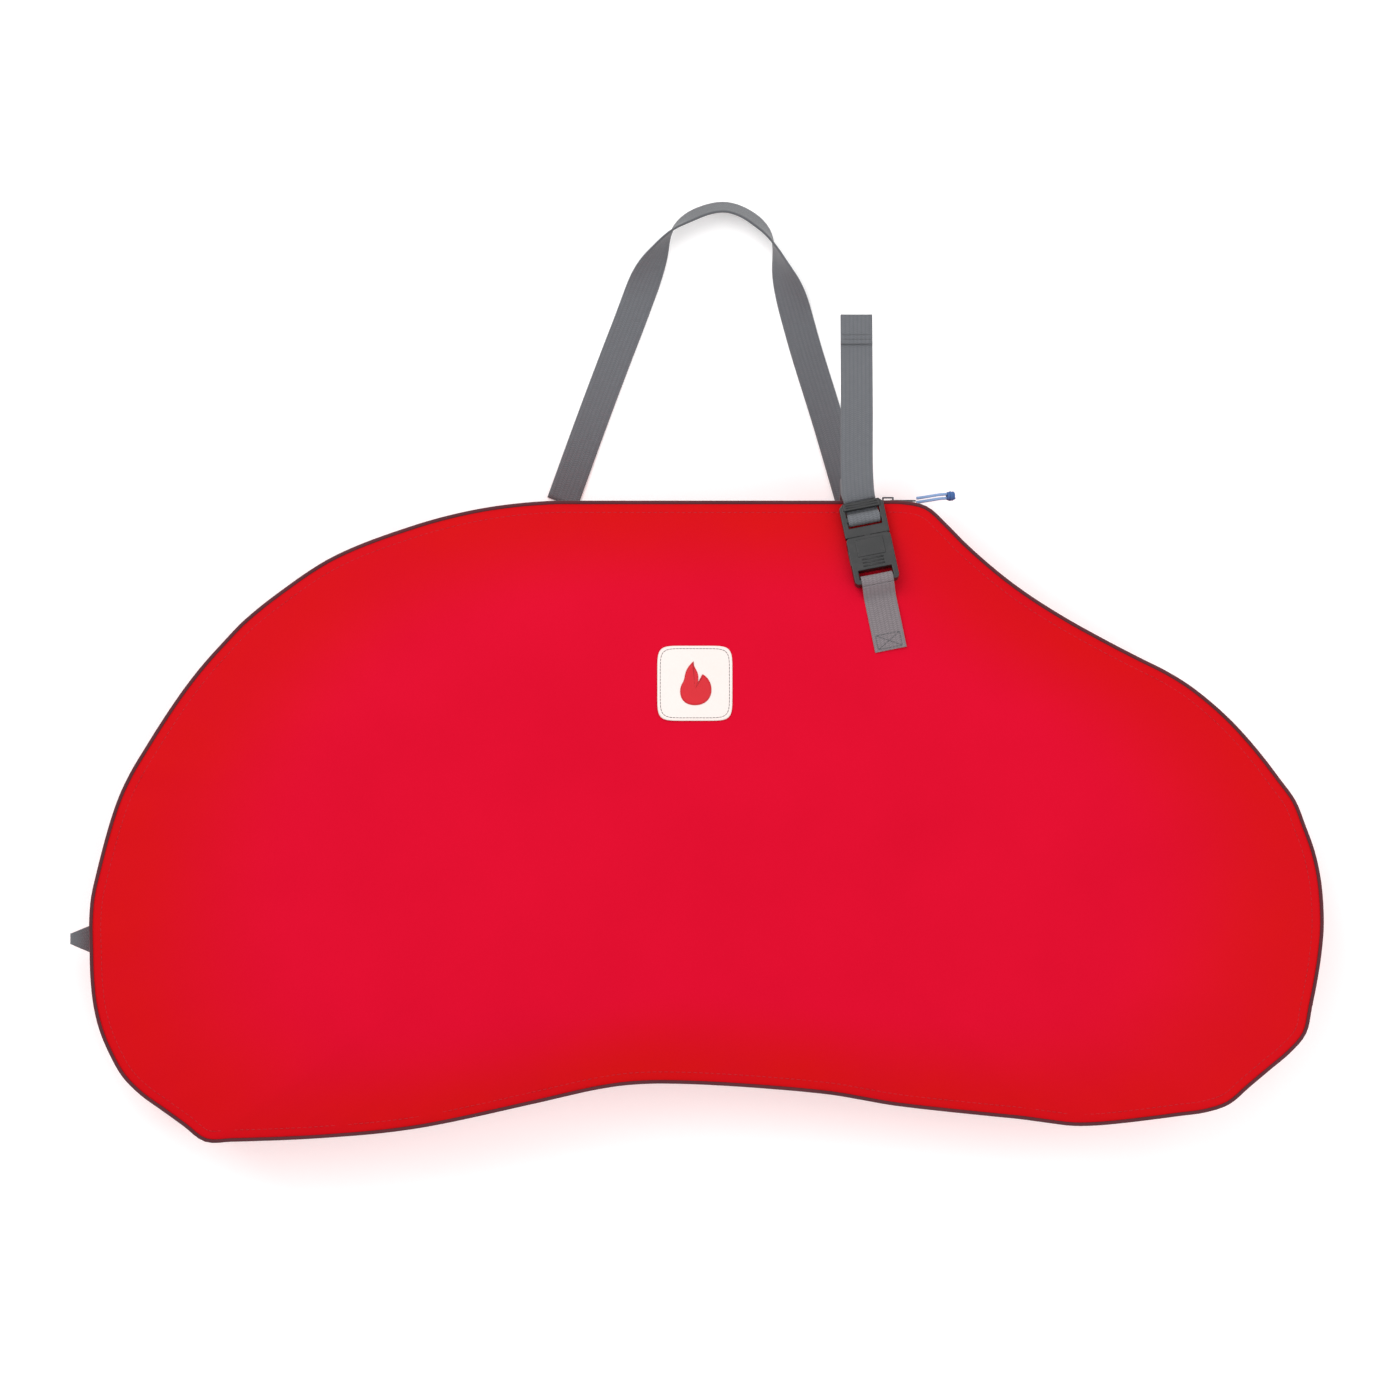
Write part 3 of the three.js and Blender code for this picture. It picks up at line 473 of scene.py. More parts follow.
class Nodes:
    """Adds and joins nodes in one tree."""

    def __init__(self, tree: bpy.types.NodeTree) -> None:
        """Starts on a tree.

        Args:
            tree: a material's or a group's tree.
        """
        self.tree = tree

    def add(
        self, kind: str, inputs: dict[str | int, object] | None = None, **settings: object
    ) -> bpy.types.Node:
        """Adds a node.

        Args:
            kind: the node's type name.
            inputs: values or sockets for its inputs.
            settings: the node's own properties.

        Returns:
            The node.
        """
        node = self.tree.nodes.new(kind)
        for key, value in settings.items():
            setattr(node, key, value)
        for key, value in (inputs or {}).items():
            if isinstance(value, bpy.types.NodeSocket):
                self.tree.links.new(value, node.inputs[key])
            else:
                node.inputs[key].default_value = value
        return node

    def math(self, operation: str, a: object, b: object = 0.0) -> bpy.types.NodeSocket:
        """A math node's result.

        Args:
            operation: its name.
            a: first value or socket.
            b: second value or socket.

        Returns:
            The output socket.
        """
        return self.add("ShaderNodeMath", {0: a, 1: b}, operation=operation).outputs[0]

    def mix(self, factor: object, a: object, b: object) -> bpy.types.NodeSocket:
        """A colour mix.

        Args:
            factor: value or socket.
            a: colour at 0.
            b: colour at 1.

        Returns:
            The colour socket.
        """
        node = self.add("ShaderNodeMix", data_type="RGBA")
        for socket, value in ((node.inputs[0], factor), (node.inputs[6], a), (node.inputs[7], b)):
            if isinstance(value, bpy.types.NodeSocket):
                self.tree.links.new(value, socket)
            elif isinstance(value, tuple):
                socket.default_value = (*value, 1.0)
            else:
                socket.default_value = value
        return node.outputs[2]


def new_group(
    name: str, inputs: dict[str, float], outputs: Sequence[str]
) -> tuple[Nodes, bpy.types.Node, bpy.types.Node]:
    """Starts a shader node group with a Vector input and number inputs.

    Args:
        name: the group's name.
        inputs: number inputs with their usual values.
        outputs: number outputs.

    Returns:
        The node builder, the group's input node and its output node.
    """
    tree = bpy.data.node_groups.new(name, "ShaderNodeTree")
    tree.interface.new_socket("Vector", in_out="INPUT", socket_type="NodeSocketVector")
    for key, value in inputs.items():
        socket = tree.interface.new_socket(key, in_out="INPUT", socket_type="NodeSocketFloat")
        socket.default_value = value
    for key in outputs:
        tree.interface.new_socket(key, in_out="OUTPUT", socket_type="NodeSocketFloat")
    nodes = Nodes(tree)
    return nodes, nodes.add("NodeGroupInput"), nodes.add("NodeGroupOutput")


def build_weave_group() -> bpy.types.NodeTree:
    """Plain woven threads: bumps, thread shade and slow mottling.

    Returns:
        The group.
    """
    nodes, given, result = new_group(
        "thread_weave", {"Pitch": 1.0 * MM, "Mottle Scale": 20.0}, ["Height", "Thread", "Mottle"]
    )
    place = given.outputs["Vector"]
    split = nodes.add("ShaderNodeSeparateXYZ", {0: place})
    turn = nodes.math("DIVIDE", 2.0 * math.pi, given.outputs["Pitch"])
    warp = nodes.math("SINE", nodes.math("MULTIPLY", split.outputs[0], turn))
    weft = nodes.math("SINE", nodes.math("MULTIPLY", split.outputs[1], turn))
    height = nodes.math("MULTIPLY_ADD", nodes.math("MULTIPLY", warp, weft), 0.5)
    height.node.inputs[2].default_value = 0.5
    fine = nodes.add("ShaderNodeTexNoise", {"Vector": place, "Scale": 420.0, "Detail": 2.0})
    slow = nodes.add(
        "ShaderNodeTexNoise",
        {"Vector": place, "Scale": given.outputs["Mottle Scale"], "Detail": 4.0, "Roughness": 0.55},
    )
    nodes.tree.links.new(height, result.inputs["Height"])
    nodes.tree.links.new(nodes.math("MULTIPLY", fine.outputs[0], height), result.inputs["Thread"])
    nodes.tree.links.new(slow.outputs[0], result.inputs["Mottle"])
    return nodes.tree


def build_ribs_group() -> bpy.types.NodeTree:
    """Webbing ribs: slanted rows that turn back at each column, as herringbone does.

    Returns:
        The group.
    """
    nodes, given, result = new_group("webbing_ribs", {"Row": 1.6 * MM, "Column": 3.1 * MM}, ["Height", "Shade"])
    place = given.outputs["Vector"]
    split = nodes.add("ShaderNodeSeparateXYZ", {0: place})
    across = nodes.math("DIVIDE", split.outputs[0], given.outputs["Column"])
    zigzag = nodes.math("PINGPONG", across, 1.0)
    along = nodes.math("DIVIDE", split.outputs[1], given.outputs["Row"])
    slanted = nodes.math("MULTIPLY", nodes.math("ADD", along, zigzag), 2.0 * math.pi)
    rows = nodes.math("MULTIPLY_ADD", nodes.math("SINE", slanted), 0.35)
    rows.node.inputs[2].default_value = 0.5
    groove = nodes.math("ABSOLUTE", nodes.math("SINE", nodes.math("MULTIPLY", across, math.pi)))
    height = nodes.math("MULTIPLY", rows, nodes.math("POWER", groove, 0.35))
    grain = nodes.add("ShaderNodeTexNoise", {"Vector": place, "Scale": 260.0, "Detail": 3.0})
    shade = nodes.math("MULTIPLY", height, nodes.math("ADD", grain.outputs[0], 0.5))
    nodes.tree.links.new(height, result.inputs["Height"])
    nodes.tree.links.new(shade, result.inputs["Shade"])
    return nodes.tree


def build_wear_group() -> bpy.types.NodeTree:
    """Scuffs and a fine moulded grain.

    Returns:
        The group.
    """
    nodes, given, result = new_group(
        "scuffed_skin", {"Grain Scale": 900.0, "Scuff Scale": 60.0}, ["Height", "Scuff"]
    )
    place = given.outputs["Vector"]
    grain = nodes.add(
        "ShaderNodeTexNoise", {"Vector": place, "Scale": given.outputs["Grain Scale"], "Detail": 2.0}
    )
    scuff = nodes.add(
        "ShaderNodeTexNoise",
        {"Vector": place, "Scale": given.outputs["Scuff Scale"], "Detail": 6.0, "Roughness": 0.7},
    )
    sharp = nodes.add("ShaderNodeMapRange", {0: scuff.outputs[0], 1: 0.52, 2: 0.75})
    nodes.tree.links.new(grain.outputs[0], result.inputs["Height"])
    nodes.tree.links.new(sharp.outputs[0], result.inputs["Scuff"])
    return nodes.tree


class Coordinates(Enum):
    """Where a pattern is read: the piece's own UV map, or its place in the object."""

    UV = "UV"
    OBJECT = "Object"


GROUPS: dict[str, bpy.types.NodeTree] = {}


@dataclass(frozen=True)
class Finish:
    """What every finish has."""

    name: str
    colour: Colour
    dark: Colour
    roughness: float

    def start(self) -> tuple[bpy.types.Material, Nodes, bpy.types.Node]:
        """Makes an empty material with its shader.

        Returns:
            The material, its node builder and the Principled BSDF.
        """
        material = bpy.data.materials.new(self.name)
        material.use_nodes = True
        material.diffuse_color = (*self.colour, 1.0)
        tree = material.node_tree
        shader = tree.nodes["Principled BSDF"]
        shader.inputs["Roughness"].default_value = self.roughness
        return material, Nodes(tree), shader

    def bump(self, nodes: Nodes, shader: bpy.types.Node, height: object, depth: float, strength: float) -> None:
        """Feeds a height to the shader's normal.

        Args:
            nodes: the material's node builder.
            shader: the Principled BSDF.
            height: the height socket.
            depth: metres from the lowest to the highest point.
            strength: from 0 to 1.
        """
        bump = nodes.add("ShaderNodeBump", {"Height": height, "Distance": depth, "Strength": strength})
        nodes.tree.links.new(bump.outputs[0], shader.inputs["Normal"])


@dataclass(frozen=True)
class WovenFinish(Finish):
    """A woven cloth, with painted shade: an edge colour where the piece's edge attribute is 1."""

    pitch: float = 0.9 * MM
    depth: float = 0.06 * MM
    # the painted shade colour, laid on towards the piece's edge
    edge: Colour | None = None
    sheen: float = 0.15
    specular: float = 0.25
    mottle: float = 14.0
    uneven: float = 0.07

    def material(self) -> bpy.types.Material:
        """Builds the material.

        Returns:
            The material.
        """
        material, nodes, shader = self.start()
        place = nodes.add("ShaderNodeTexCoord").outputs[Coordinates.UV.value]
        weave = nodes.add("ShaderNodeGroup", node_tree=GROUPS["weave"])
        weave.inputs["Pitch"].default_value = self.pitch
        weave.inputs["Mottle Scale"].default_value = self.mottle
        nodes.tree.links.new(place, weave.inputs["Vector"])
        base: object = self.colour
        # Painted shade: the colour moves to the edge colour towards the seam, where the crowned panel turns
        # from the light.
        if self.edge is not None:
            rim = nodes.add("ShaderNodeAttribute", attribute_name="edge")
            base = nodes.mix(rim.outputs["Fac"], self.colour, self.edge)
        threads = nodes.math("MULTIPLY", weave.outputs["Thread"], 0.35)
        shaded = nodes.mix(threads, base, self.dark)
        mottle = weave.outputs["Mottle"]
        slow = nodes.add("ShaderNodeMapRange", {0: mottle, 1: 0.35, 2: 0.75, 3: 0.0, 4: 0.35})
        colour = nodes.mix(slow.outputs[0], shaded, self.dark)
        nodes.tree.links.new(colour, shader.inputs["Base Color"])
        low, high = self.roughness - self.uneven, self.roughness + self.uneven
        gloss = nodes.add("ShaderNodeMapRange", {0: mottle, 3: low, 4: high})
        nodes.tree.links.new(gloss.outputs[0], shader.inputs["Roughness"])
        shader.inputs["Sheen Weight"].default_value = self.sheen
        shader.inputs["Sheen Roughness"].default_value = 0.4
        shader.inputs["Specular IOR Level"].default_value = self.specular
        self.bump(nodes, shader, weave.outputs["Height"], self.depth, 0.6)
        return material


@dataclass(frozen=True)
class WebbingFinish(Finish):
    """Ribbed webbing, read along the band's own UV map, with painted shade where a vertex attribute is 1, as on
    the handle's turned crown.
    """

    row: float = 1.6 * MM
    column: float = 3.1 * MM
    depth: float = 0.25 * MM

    def material(self) -> bpy.types.Material:
        """Builds the material.

        Returns:
            The material.
        """
        material, nodes, shader = self.start()
        place = nodes.add("ShaderNodeTexCoord").outputs[Coordinates.UV.value]
        ribs = nodes.add("ShaderNodeGroup", node_tree=GROUPS["ribs"])
        ribs.inputs["Row"].default_value = self.row
        ribs.inputs["Column"].default_value = self.column
        nodes.tree.links.new(place, ribs.inputs["Vector"])
        # Painted shade: the colour moves towards the dark colour where the attribute marks the turned crown.
        painted_crown_shade = nodes.add("ShaderNodeAttribute", attribute_name="painted_crown_shade")
        crown_shaded = nodes.mix(painted_crown_shade.outputs["Fac"], self.colour, self.dark)
        colour = nodes.mix(ribs.outputs["Shade"], self.dark, crown_shaded)
        nodes.tree.links.new(colour, shader.inputs["Base Color"])
        shader.inputs["Sheen Weight"].default_value = 0.2
        shader.inputs["Specular IOR Level"].default_value = 0.35
        self.bump(nodes, shader, ribs.outputs["Height"], self.depth, 0.8)
        return material


@dataclass(frozen=True)
class HardFinish(Finish):
    """Moulded plastic or enamelled metal with scuffs."""

    metallic: float = 0.0
    grain: float = 900.0
    depth: float = 0.03 * MM
    coat: float = 0.0

    def material(self) -> bpy.types.Material:
        """Builds the material.

        Returns:
            The material.
        """
        material, nodes, shader = self.start()
        place = nodes.add("ShaderNodeTexCoord").outputs[Coordinates.OBJECT.value]
        skin = nodes.add("ShaderNodeGroup", node_tree=GROUPS["wear"])
        skin.inputs["Grain Scale"].default_value = self.grain
        nodes.tree.links.new(place, skin.inputs["Vector"])
        scuff = skin.outputs["Scuff"]
        colour = nodes.mix(nodes.math("MULTIPLY", scuff, 0.5), self.colour, self.dark)
        nodes.tree.links.new(colour, shader.inputs["Base Color"])
        rough = nodes.add("ShaderNodeMapRange", {0: scuff, 3: self.roughness, 4: self.roughness + 0.2})
        nodes.tree.links.new(rough.outputs[0], shader.inputs["Roughness"])
        shader.inputs["Metallic"].default_value = self.metallic
        shader.inputs["Coat Weight"].default_value = self.coat
        self.bump(nodes, shader, skin.outputs["Height"], self.depth, 0.5)
        return material


# The front cloth's edge colour is painted shade, darker and more orange towards the seam.
RED = WovenFinish(
    "red_coated_cloth", linear(197, 2, 38), linear(183, 1, 31), 0.62, edge=linear(188, 8, 9), pitch=0.8 * MM,
    depth=0.05 * MM, sheen=0.0, specular=0.05, mottle=9.0,
)
RED_WALL = WovenFinish(
    "red_wall_cloth", linear(196, 6, 18), linear(170, 4, 14), 0.64, pitch=0.8 * MM, depth=0.05 * MM, sheen=0.02,
    specular=0.1, mottle=9.0,
)
LINING = WovenFinish(
    "red_back_cloth", linear(186, 8, 22), linear(150, 6, 16), 0.7, pitch=1.1 * MM, depth=0.08 * MM
)
PIPING = WovenFinish(
    "edge_piping", linear(84, 30, 38), linear(38, 22, 26), 0.72, pitch=0.7 * MM, depth=0.05 * MM
)
TAPE = WovenFinish("zip_tape", linear(50, 50, 54), linear(24, 24, 27), 0.8, pitch=0.6 * MM, depth=0.06 * MM)
THREAD = WovenFinish(
    "red_thread", linear(186, 4, 24), linear(150, 3, 18), 0.6, pitch=0.3 * MM, depth=0.02 * MM
)
GREY_THREAD = WovenFinish(
    "grey_thread", linear(92, 93, 96), linear(60, 60, 64), 0.6, pitch=0.3 * MM, depth=0.02 * MM
)
GREY_WEBBING = WebbingFinish("grey_webbing", linear(107, 109, 114), linear(78, 80, 84), 0.74)
# The grey webbing made lighter and pinker: painted light, red light bounced off the bag under the anchor.
RED_BOUNCE_WEBBING = WebbingFinish("webbing_painted_red_bounce", linear(128, 119, 123), linear(96, 89, 92), 0.74)
BLACK_TAPE = WebbingFinish(
    "black_loop_tape", linear(48, 50, 54), linear(18, 19, 22), 0.75, row=1.2 * MM, column=2.4 * MM
)
BLACK_PLASTIC = HardFinish("black_acetal", linear(27, 28, 29), linear(60, 56, 57), 0.38)
COIL = HardFinish("zip_coil", linear(46, 46, 50), linear(82, 82, 86), 0.42)
DARK_METAL = HardFinish(
    "dark_enamel", linear(74, 78, 84), linear(150, 150, 152), 0.3, metallic=0.75, grain=500.0, coat=0.2
)
BLUE_CORD = WovenFinish(
    "blue_cord", linear(138, 170, 208), linear(72, 110, 164), 0.6, pitch=0.8 * MM, depth=0.12 * MM, mottle=160.0
)
# The same cord as BLUE_CORD in a darker copy: painted shade on the knot's tight turns.
SHADED_BLUE_KNOT = WovenFinish(
    "blue_cord_painted_shade", linear(66, 104, 160), linear(36, 64, 112), 0.6, pitch=0.8 * MM, depth=0.12 * MM, mottle=160.0
)
GLASS_CLOTH = WovenFinish(
    "glass_cloth", linear(206, 201, 186), linear(160, 154, 138), 0.55, pitch=1.4 * MM, depth=0.12 * MM
)
BADGE_CLOTH = WovenFinish(
    "badge_cloth", linear(226, 214, 210), linear(208, 196, 190), 0.6, pitch=0.6 * MM, depth=0.04 * MM
)
BADGE_PRINT = WovenFinish(
    "badge_print", linear(196, 28, 40), linear(160, 18, 28), 0.5, pitch=0.6 * MM, depth=0.03 * MM
)

MATERIALS: dict[str, bpy.types.Material] = {}


def dress(
    piece: bpy.types.Object, finish: Finish, slot: str, body: str | None, *replaced: str
) -> bpy.types.Object:
    """Gives a piece its material and slot, and says what it rides on and stands for.

    Args:
        piece: the finished object.
        finish: its finish.
        slot: the record's material slot; not used.
        body: the CAD body it rides on, or None when it is attached to none.
        replaced: CAD nodes that it stands for.

    Returns:
        The same object.
    """
    if finish.name not in MATERIALS:
        MATERIALS[finish.name] = finish.material()
    piece.data.materials.clear()
    piece.data.materials.append(MATERIALS[finish.name])
    if body is None:
        FOLD.blend(piece)
    else:
        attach(piece, body)
    if replaced:
        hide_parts(*replaced)
    LOG.info("%s: %d faces, %s", piece.name, len(piece.data.polygons), finish.name)
    return piece


# ------------------------------------------------------------------ the bag's shape, read from the frame
def joint(name: str) -> dict:
    """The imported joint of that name."""
    return next(j for j in frame["joints"] if j["name"] == name)


class Fold:
    """The line across the front along which the flap turns back."""

    def __init__(self) -> None:
        """Reads the line from the flap's hinge."""
        hinge = joint("flap_open")
        self.start = Vector(hinge["pos_m"])
        self.travel = Vector(hinge["axis"]).normalized()
        self.outward = UP.cross(self.travel).normalized()

    def blend(self, piece: bpy.types.Object) -> None:
        """Bakes the piece's placement into its mesh.

        Args:
            piece: the object.
        """
        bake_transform(piece)


FOLD = Fold()


class Outline:
    """The bag's plan outline at the cloth's outer face, clockwise from the zip's left end."""

    def __init__(self, node: str, start: Vector) -> None:
        """Reads the outline from a flat CAD panel.

        Args:
            node: the CAD node whose lowest face has the outline.
            start: a point near which the outline starts.
        """
        lowest = [v.co for v in frame["nodes"][node].data.vertices if v.co.z < 0.01 * MM]
        places = {(round(co.x, 6), round(co.y, 6)) for co in lowest}
        corners = sorted((Vector((x, y, 0.0)) for x, y in places), key=lambda p: -math.atan2(p.y, p.x))
        first = min(range(len(corners)), key=lambda k: (corners[k] - start.xy.to_3d()).length)
        self.corners = corners[first:] + corners[:first]
        self.count = len(self.corners)
        self.length = path_length([*self.corners, self.corners[0]])

    def point(self, share: float) -> Vector:
        """The outline's point at a share of the way round."""
        s = share % 1.0 * self.count
        k = int(s)
        t = s - k
        p0, p1, p2, p3 = (self.corners[(k + j) % self.count] for j in (-1, 0, 1, 2))
        straight = 2 * p1 + (p2 - p0) * t
        bend = (2 * p0 - 5 * p1 + 4 * p2 - p3) * t * t
        return 0.5 * (straight + bend + (3 * p1 - p0 - 3 * p2 + p3) * t ** 3)

    def travel(self, share: float) -> Vector:
        """The direction of the outline at a share of the way round."""
        step = 0.35 / self.count
        return (self.point(share + step) - self.point(share - step)).normalized()

    def outward(self, share: float) -> Vector:
        """The level direction away from the bag at a share of the way round."""
        return UP.cross(self.travel(share))

    def at(self, share: float, offset: float, height: float) -> Vector:
        """A point beside the outline.

        Args:
            share: how far round.
            offset: outward distance from the cloth's face.
            height: above the floor.

        Returns:
            The point.
        """
        return self.point(share) + self.outward(share) * offset + UP * height

    def on_top_edge(self, x: float) -> float:
        """The share at which the top edge reaches x."""
        low, high = 0.0, 0.5
        for _ in range(40):
            middle = (low + high) / 2
            if self.point(middle).x < x:
                low = middle
            else:
                high = middle
        return low


OUTLINE = Outline("back_panel", FOLD.start)
SEAM_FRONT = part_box("front_panel")[0].z
PANEL_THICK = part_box("back_panel")[1].z
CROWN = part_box("front_panel")[1].z - SEAM_FRONT - PANEL_THICK
ZIP_END = OUTLINE.on_top_edge(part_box("zip_teeth_rear")[1].x)
WALL_OFFSET = -0.9 * MM  # of the wall cloth and the zip from the outline


def share_to_edge(x: float, y: float) -> float:
    """How far out a point lies, from 0 at the bag's middle to 1 at the outline."""
    for k in range(OUTLINE.count):
        a = OUTLINE.corners[k]
        b = OUTLINE.corners[(k + 1) % OUTLINE.count]
        turn = a.x * b.y - a.y * b.x
        near_a = (x * b.y - y * b.x) / turn
        near_b = (a.x * y - a.y * x) / turn
        if near_a >= 0 and near_b >= 0:
            return near_a + near_b
    return 1.0


def crowned(ring: float) -> float:
    """Height of the swollen front panel at a ring, from 0 at its middle to 1 at the seam."""
    return SEAM_FRONT + PANEL_THICK + CROWN * (1 - ring ** 3)


def panel_height(x: float, y: float) -> float:
    """Height of the swollen front panel's outer face, without its small ripples."""
    return crowned(min(1.0, share_to_edge(x, y)))


def on_panel(x: float, y: float, above: float = 0.0) -> Vector:
    """A point on the front panel, lifted by a distance."""
    return Vector((x, y, panel_height(x, y) + above))


# ------------------------------------------------------------------ cloth shell
@dataclass
class BagShell:
    """The cloth panels, side walls, piping and seams of the bag."""

    around: int = 480
    rings: int = 44
    cloth: float = 0.7 * MM
    piping: float = 3.1 * MM
    tuck: float = 0.9 * MM
    fullness: float = 1.03
    swell: float = 1.7 * MM
    unevenness: float = 0.8 * MM
    pucker: float = 1.3 * MM
    roll: float = 0.9 * MM
    crease: float = 0.9 * MM
    fine_crease: float = 0.45 * MM
    stitch: float = 3.0 * MM
    stitch_pitch: float = 4.4 * MM
    stitch_inset: float = 6 * MM
    zip_stitch_inset: float = 2.2 * MM

    def build(self) -> None:
        """Makes and dresses every cloth piece."""
        low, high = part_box("back_panel")
        self.panel_size = (high - low) * self.fullness
        self.front()
        self.back()
        self.walls()
        self.pipings()
        self.seams()

    def ripple(self, at: Vector, share: float, ring: float) -> float:
        """Soft swells and the puckers that a seam draws in.

        Args:
            at: the point in plan.
            share: how far round the outline.
            ring: how far out, from 0 to 1.

        Returns:
            A height to add, in metres.
        """
        inside = 1 - ring ** 5
        drawn = math.exp(-(1 - ring) * 13.0) * (1 - math.exp(-(1 - ring) * 90.0))
        rim = OUTLINE.point(share)
        swell = self.swell * noise.noise(Vector((at.x * 6.5, at.y * 8.5, 0.4))) * inside
        uneven = self.unevenness * noise.noise(Vector((at.x * 19, at.y * 23, 3.1))) * inside
        pucker = self.pucker * noise.noise(Vector((rim.x * 42, rim.y * 42, ring * 3))) * drawn
        return swell + uneven + pucker

    def front_height(self, at: Vector, share: float, ring: float) -> float:
        """Height of the front cloth: its crown, less its roll into the seam, with its ripples.

        Args:
            at: the point in plan.
            share: how far round the outline.
            ring: how far out, from 0 to 1.

        Returns:
            The height above the floor.
        """
        return crowned(ring) - self.roll * math.exp(-(1 - ring) * 70) + self.ripple(at, share, ring)

    def front(self) -> None:
        """The front cloth, in one piece across the fold."""
        def place(a: float, b: float) -> Vector:
            """Bends the grid to the swollen panel."""
            ring = 1 - (1 - b) ** 1.5
            tucked = OUTLINE.outward(a) * self.tuck * ring ** 30
            at = OUTLINE.point(a) * ring + tucked
            return Vector((at.x, at.y, self.front_height(at, a, ring)))

        def measure(a: float, b: float) -> tuple[float, float]:
            """The plan position in metres."""
            at = place(a, b)
            return at.x, at.y

        piece = mapped_grid("front_cloth", self.around, self.rings, place, measure, Facing.UPWARD)
        # The edge attribute lays on the painted shade, rising towards the seam.
        set_attribute(piece, "edge", lambda co: smooth_step(0.66, 0.97, share_to_edge(co.x, co.y)))
        thicken(piece, self.cloth)
        dress(piece, RED, "bag_cloth", None, "front_panel", "flap_panel")

    def back(self) -> None:
        """The flat back cloth that the bag lies on."""
        def place(a: float, b: float) -> Vector:
            """Bends the grid to the flat panel, with a slight lift at the seam."""
            at = OUTLINE.point(a) * b
            lift = 0.25 * MM * (1 + noise.noise(Vector((at.x * 14, at.y * 14, 2.2)))) * b
            return Vector((at.x, at.y, lift + 1.2 * MM * math.exp(-(1 - b) * 60)))

        def measure(a: float, b: float) -> tuple[float, float]:
            """The plan position in metres."""
            at = place(a, b)
            return at.x, at.y

        piece = mapped_grid("back_cloth", self.around, 16, place, measure, Facing.UPWARD)
        piece.data.flip_normals()
        thicken(piece, self.cloth)
        dress(piece, LINING, "bag_cloth", "bag", "back_panel")

    def wall(
        self, name: str, start: float, end: float, low: float, high: float, bulge: float
    ) -> bpy.types.Object:
        """A strip of side wall.

        Args:
            name: the piece's name.
            start: share of the outline where it starts.
            end: share where it ends.
            low: its lower edge above the floor.
            high: its upper edge.
            bulge: how far its middle stands out.

        Returns:
            The strip.
        """
        columns = max(8, round((end - start) * self.around))
        rows = max(6, round((high - low) / (6 * MM)))

        def place(a: float, b: float) -> Vector:
            """Bends the grid to the outline."""
            share = start + (end - start) * a
            height = low + (high - low) * b
            belly = math.sin(math.pi * b)
            run = share * OUTLINE.length
            crease = self.crease * noise.noise(Vector((run * 24, height * 9, 1.5)))
            crease += self.fine_crease * noise.noise(Vector((run * 70, height * 24, 5.5)))
            return OUTLINE.at(share, WALL_OFFSET + (bulge + crease) * belly, height)

        def measure(a: float, b: float) -> tuple[float, float]:
            """Distance round the bag and height."""
            return (start + (end - start) * a) * OUTLINE.length, low + (high - low) * b

        return mapped_grid(name, columns, rows, place, measure, Facing.OUTWARD)

    def walls(self) -> None:
        """The rear strip behind the zip, the full wall elsewhere, and the front strip on the flap."""
        seam_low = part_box("gusset_band")[0].z - 0.6 * MM
        seam_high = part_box("gusset_band")[1].z + 0.5 * MM
        rear_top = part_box("gusset_rear")[1].z + 1.2 * MM
        front_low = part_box("gusset_flap")[0].z - 1.2 * MM
        around = self.wall("wall_band", ZIP_END, 1.0, seam_low, seam_high, 1.6 * MM)
        rear = self.wall("wall_rear", 0.0, ZIP_END, seam_low, rear_top, 0.6 * MM)
        front = self.wall("wall_front", 0.0, ZIP_END, front_low, seam_high, 0.5 * MM)
        for piece in (around, rear, front):
            thicken(piece, self.cloth)
        dress(around, RED_WALL, "bag_cloth", "bag", "gusset_band")
        dress(rear, RED_WALL, "bag_cloth", "bag", "gusset_rear")
        dress(front, RED_WALL, "bag_cloth", None, "gusset_flap", "gusset_front_end")

    def ring(self, name: str, offset: float, height: float, diameter: float) -> bpy.types.Object:
        """A round cord all the way round the outline.

        Args:
            name: the piece's name.
            offset: outward from the cloth's face.
            height: of its middle.
            diameter: in metres.

        Returns:
            The closed ring.
        """
        shares = [k / self.around for k in range(self.around)]
        stations = [Station(OUTLINE.at(share, offset, height), OUTLINE.outward(share), UP) for share in shares]
        return sweep(name, stations, round_section(diameter, CORD_SIDES), closed=True)

    def pipings(self) -> None:
        """The corded edging of the back and front seams."""
        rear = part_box("piping_rear")
        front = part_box("piping_front")
        offset = 0.3 * MM + (rear[1].z - rear[0].z) / 2
        low = (rear[0].z + rear[1].z) / 2
        high = (front[0].z + front[1].z) / 2 + 0.3 * MM
        back_cord = self.ring("piping_back_seam", offset, low, self.piping)
        dress(back_cord, PIPING, "piping", "bag", "piping_rear")
        front_cord = self.ring("piping_front_seam", offset, high, self.piping)
        dress(front_cord, PIPING, "piping", None, "piping_front", "piping_flap")

    def seams(self) -> None:
        """Topstitching just inside the front seam and beside the zip."""
        count = round(OUTLINE.length / self.stitch_pitch)
        places = []
        for k in range(count):
            share = k / count
            plan = OUTLINE.at(share, -self.stitch_inset, 0.0)
            height = self.front_height(plan, share, share_to_edge(plan.x, plan.y))
            at = Vector((plan.x, plan.y, height + 0.1 * MM))
            places.append(rod_matrix(at, OUTLINE.travel(share), self.stitch, 0.7 * MM, 0.6 * MM, UP))
        dress(blocks("front_topstitch", places, THIN_SIDES), THREAD, "bag_cloth", None)
        self.zip_stitches("rear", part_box("gusset_rear")[1].z - self.zip_stitch_inset, "bag")
        self.zip_stitches("front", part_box("gusset_flap")[0].z + self.zip_stitch_inset, None)

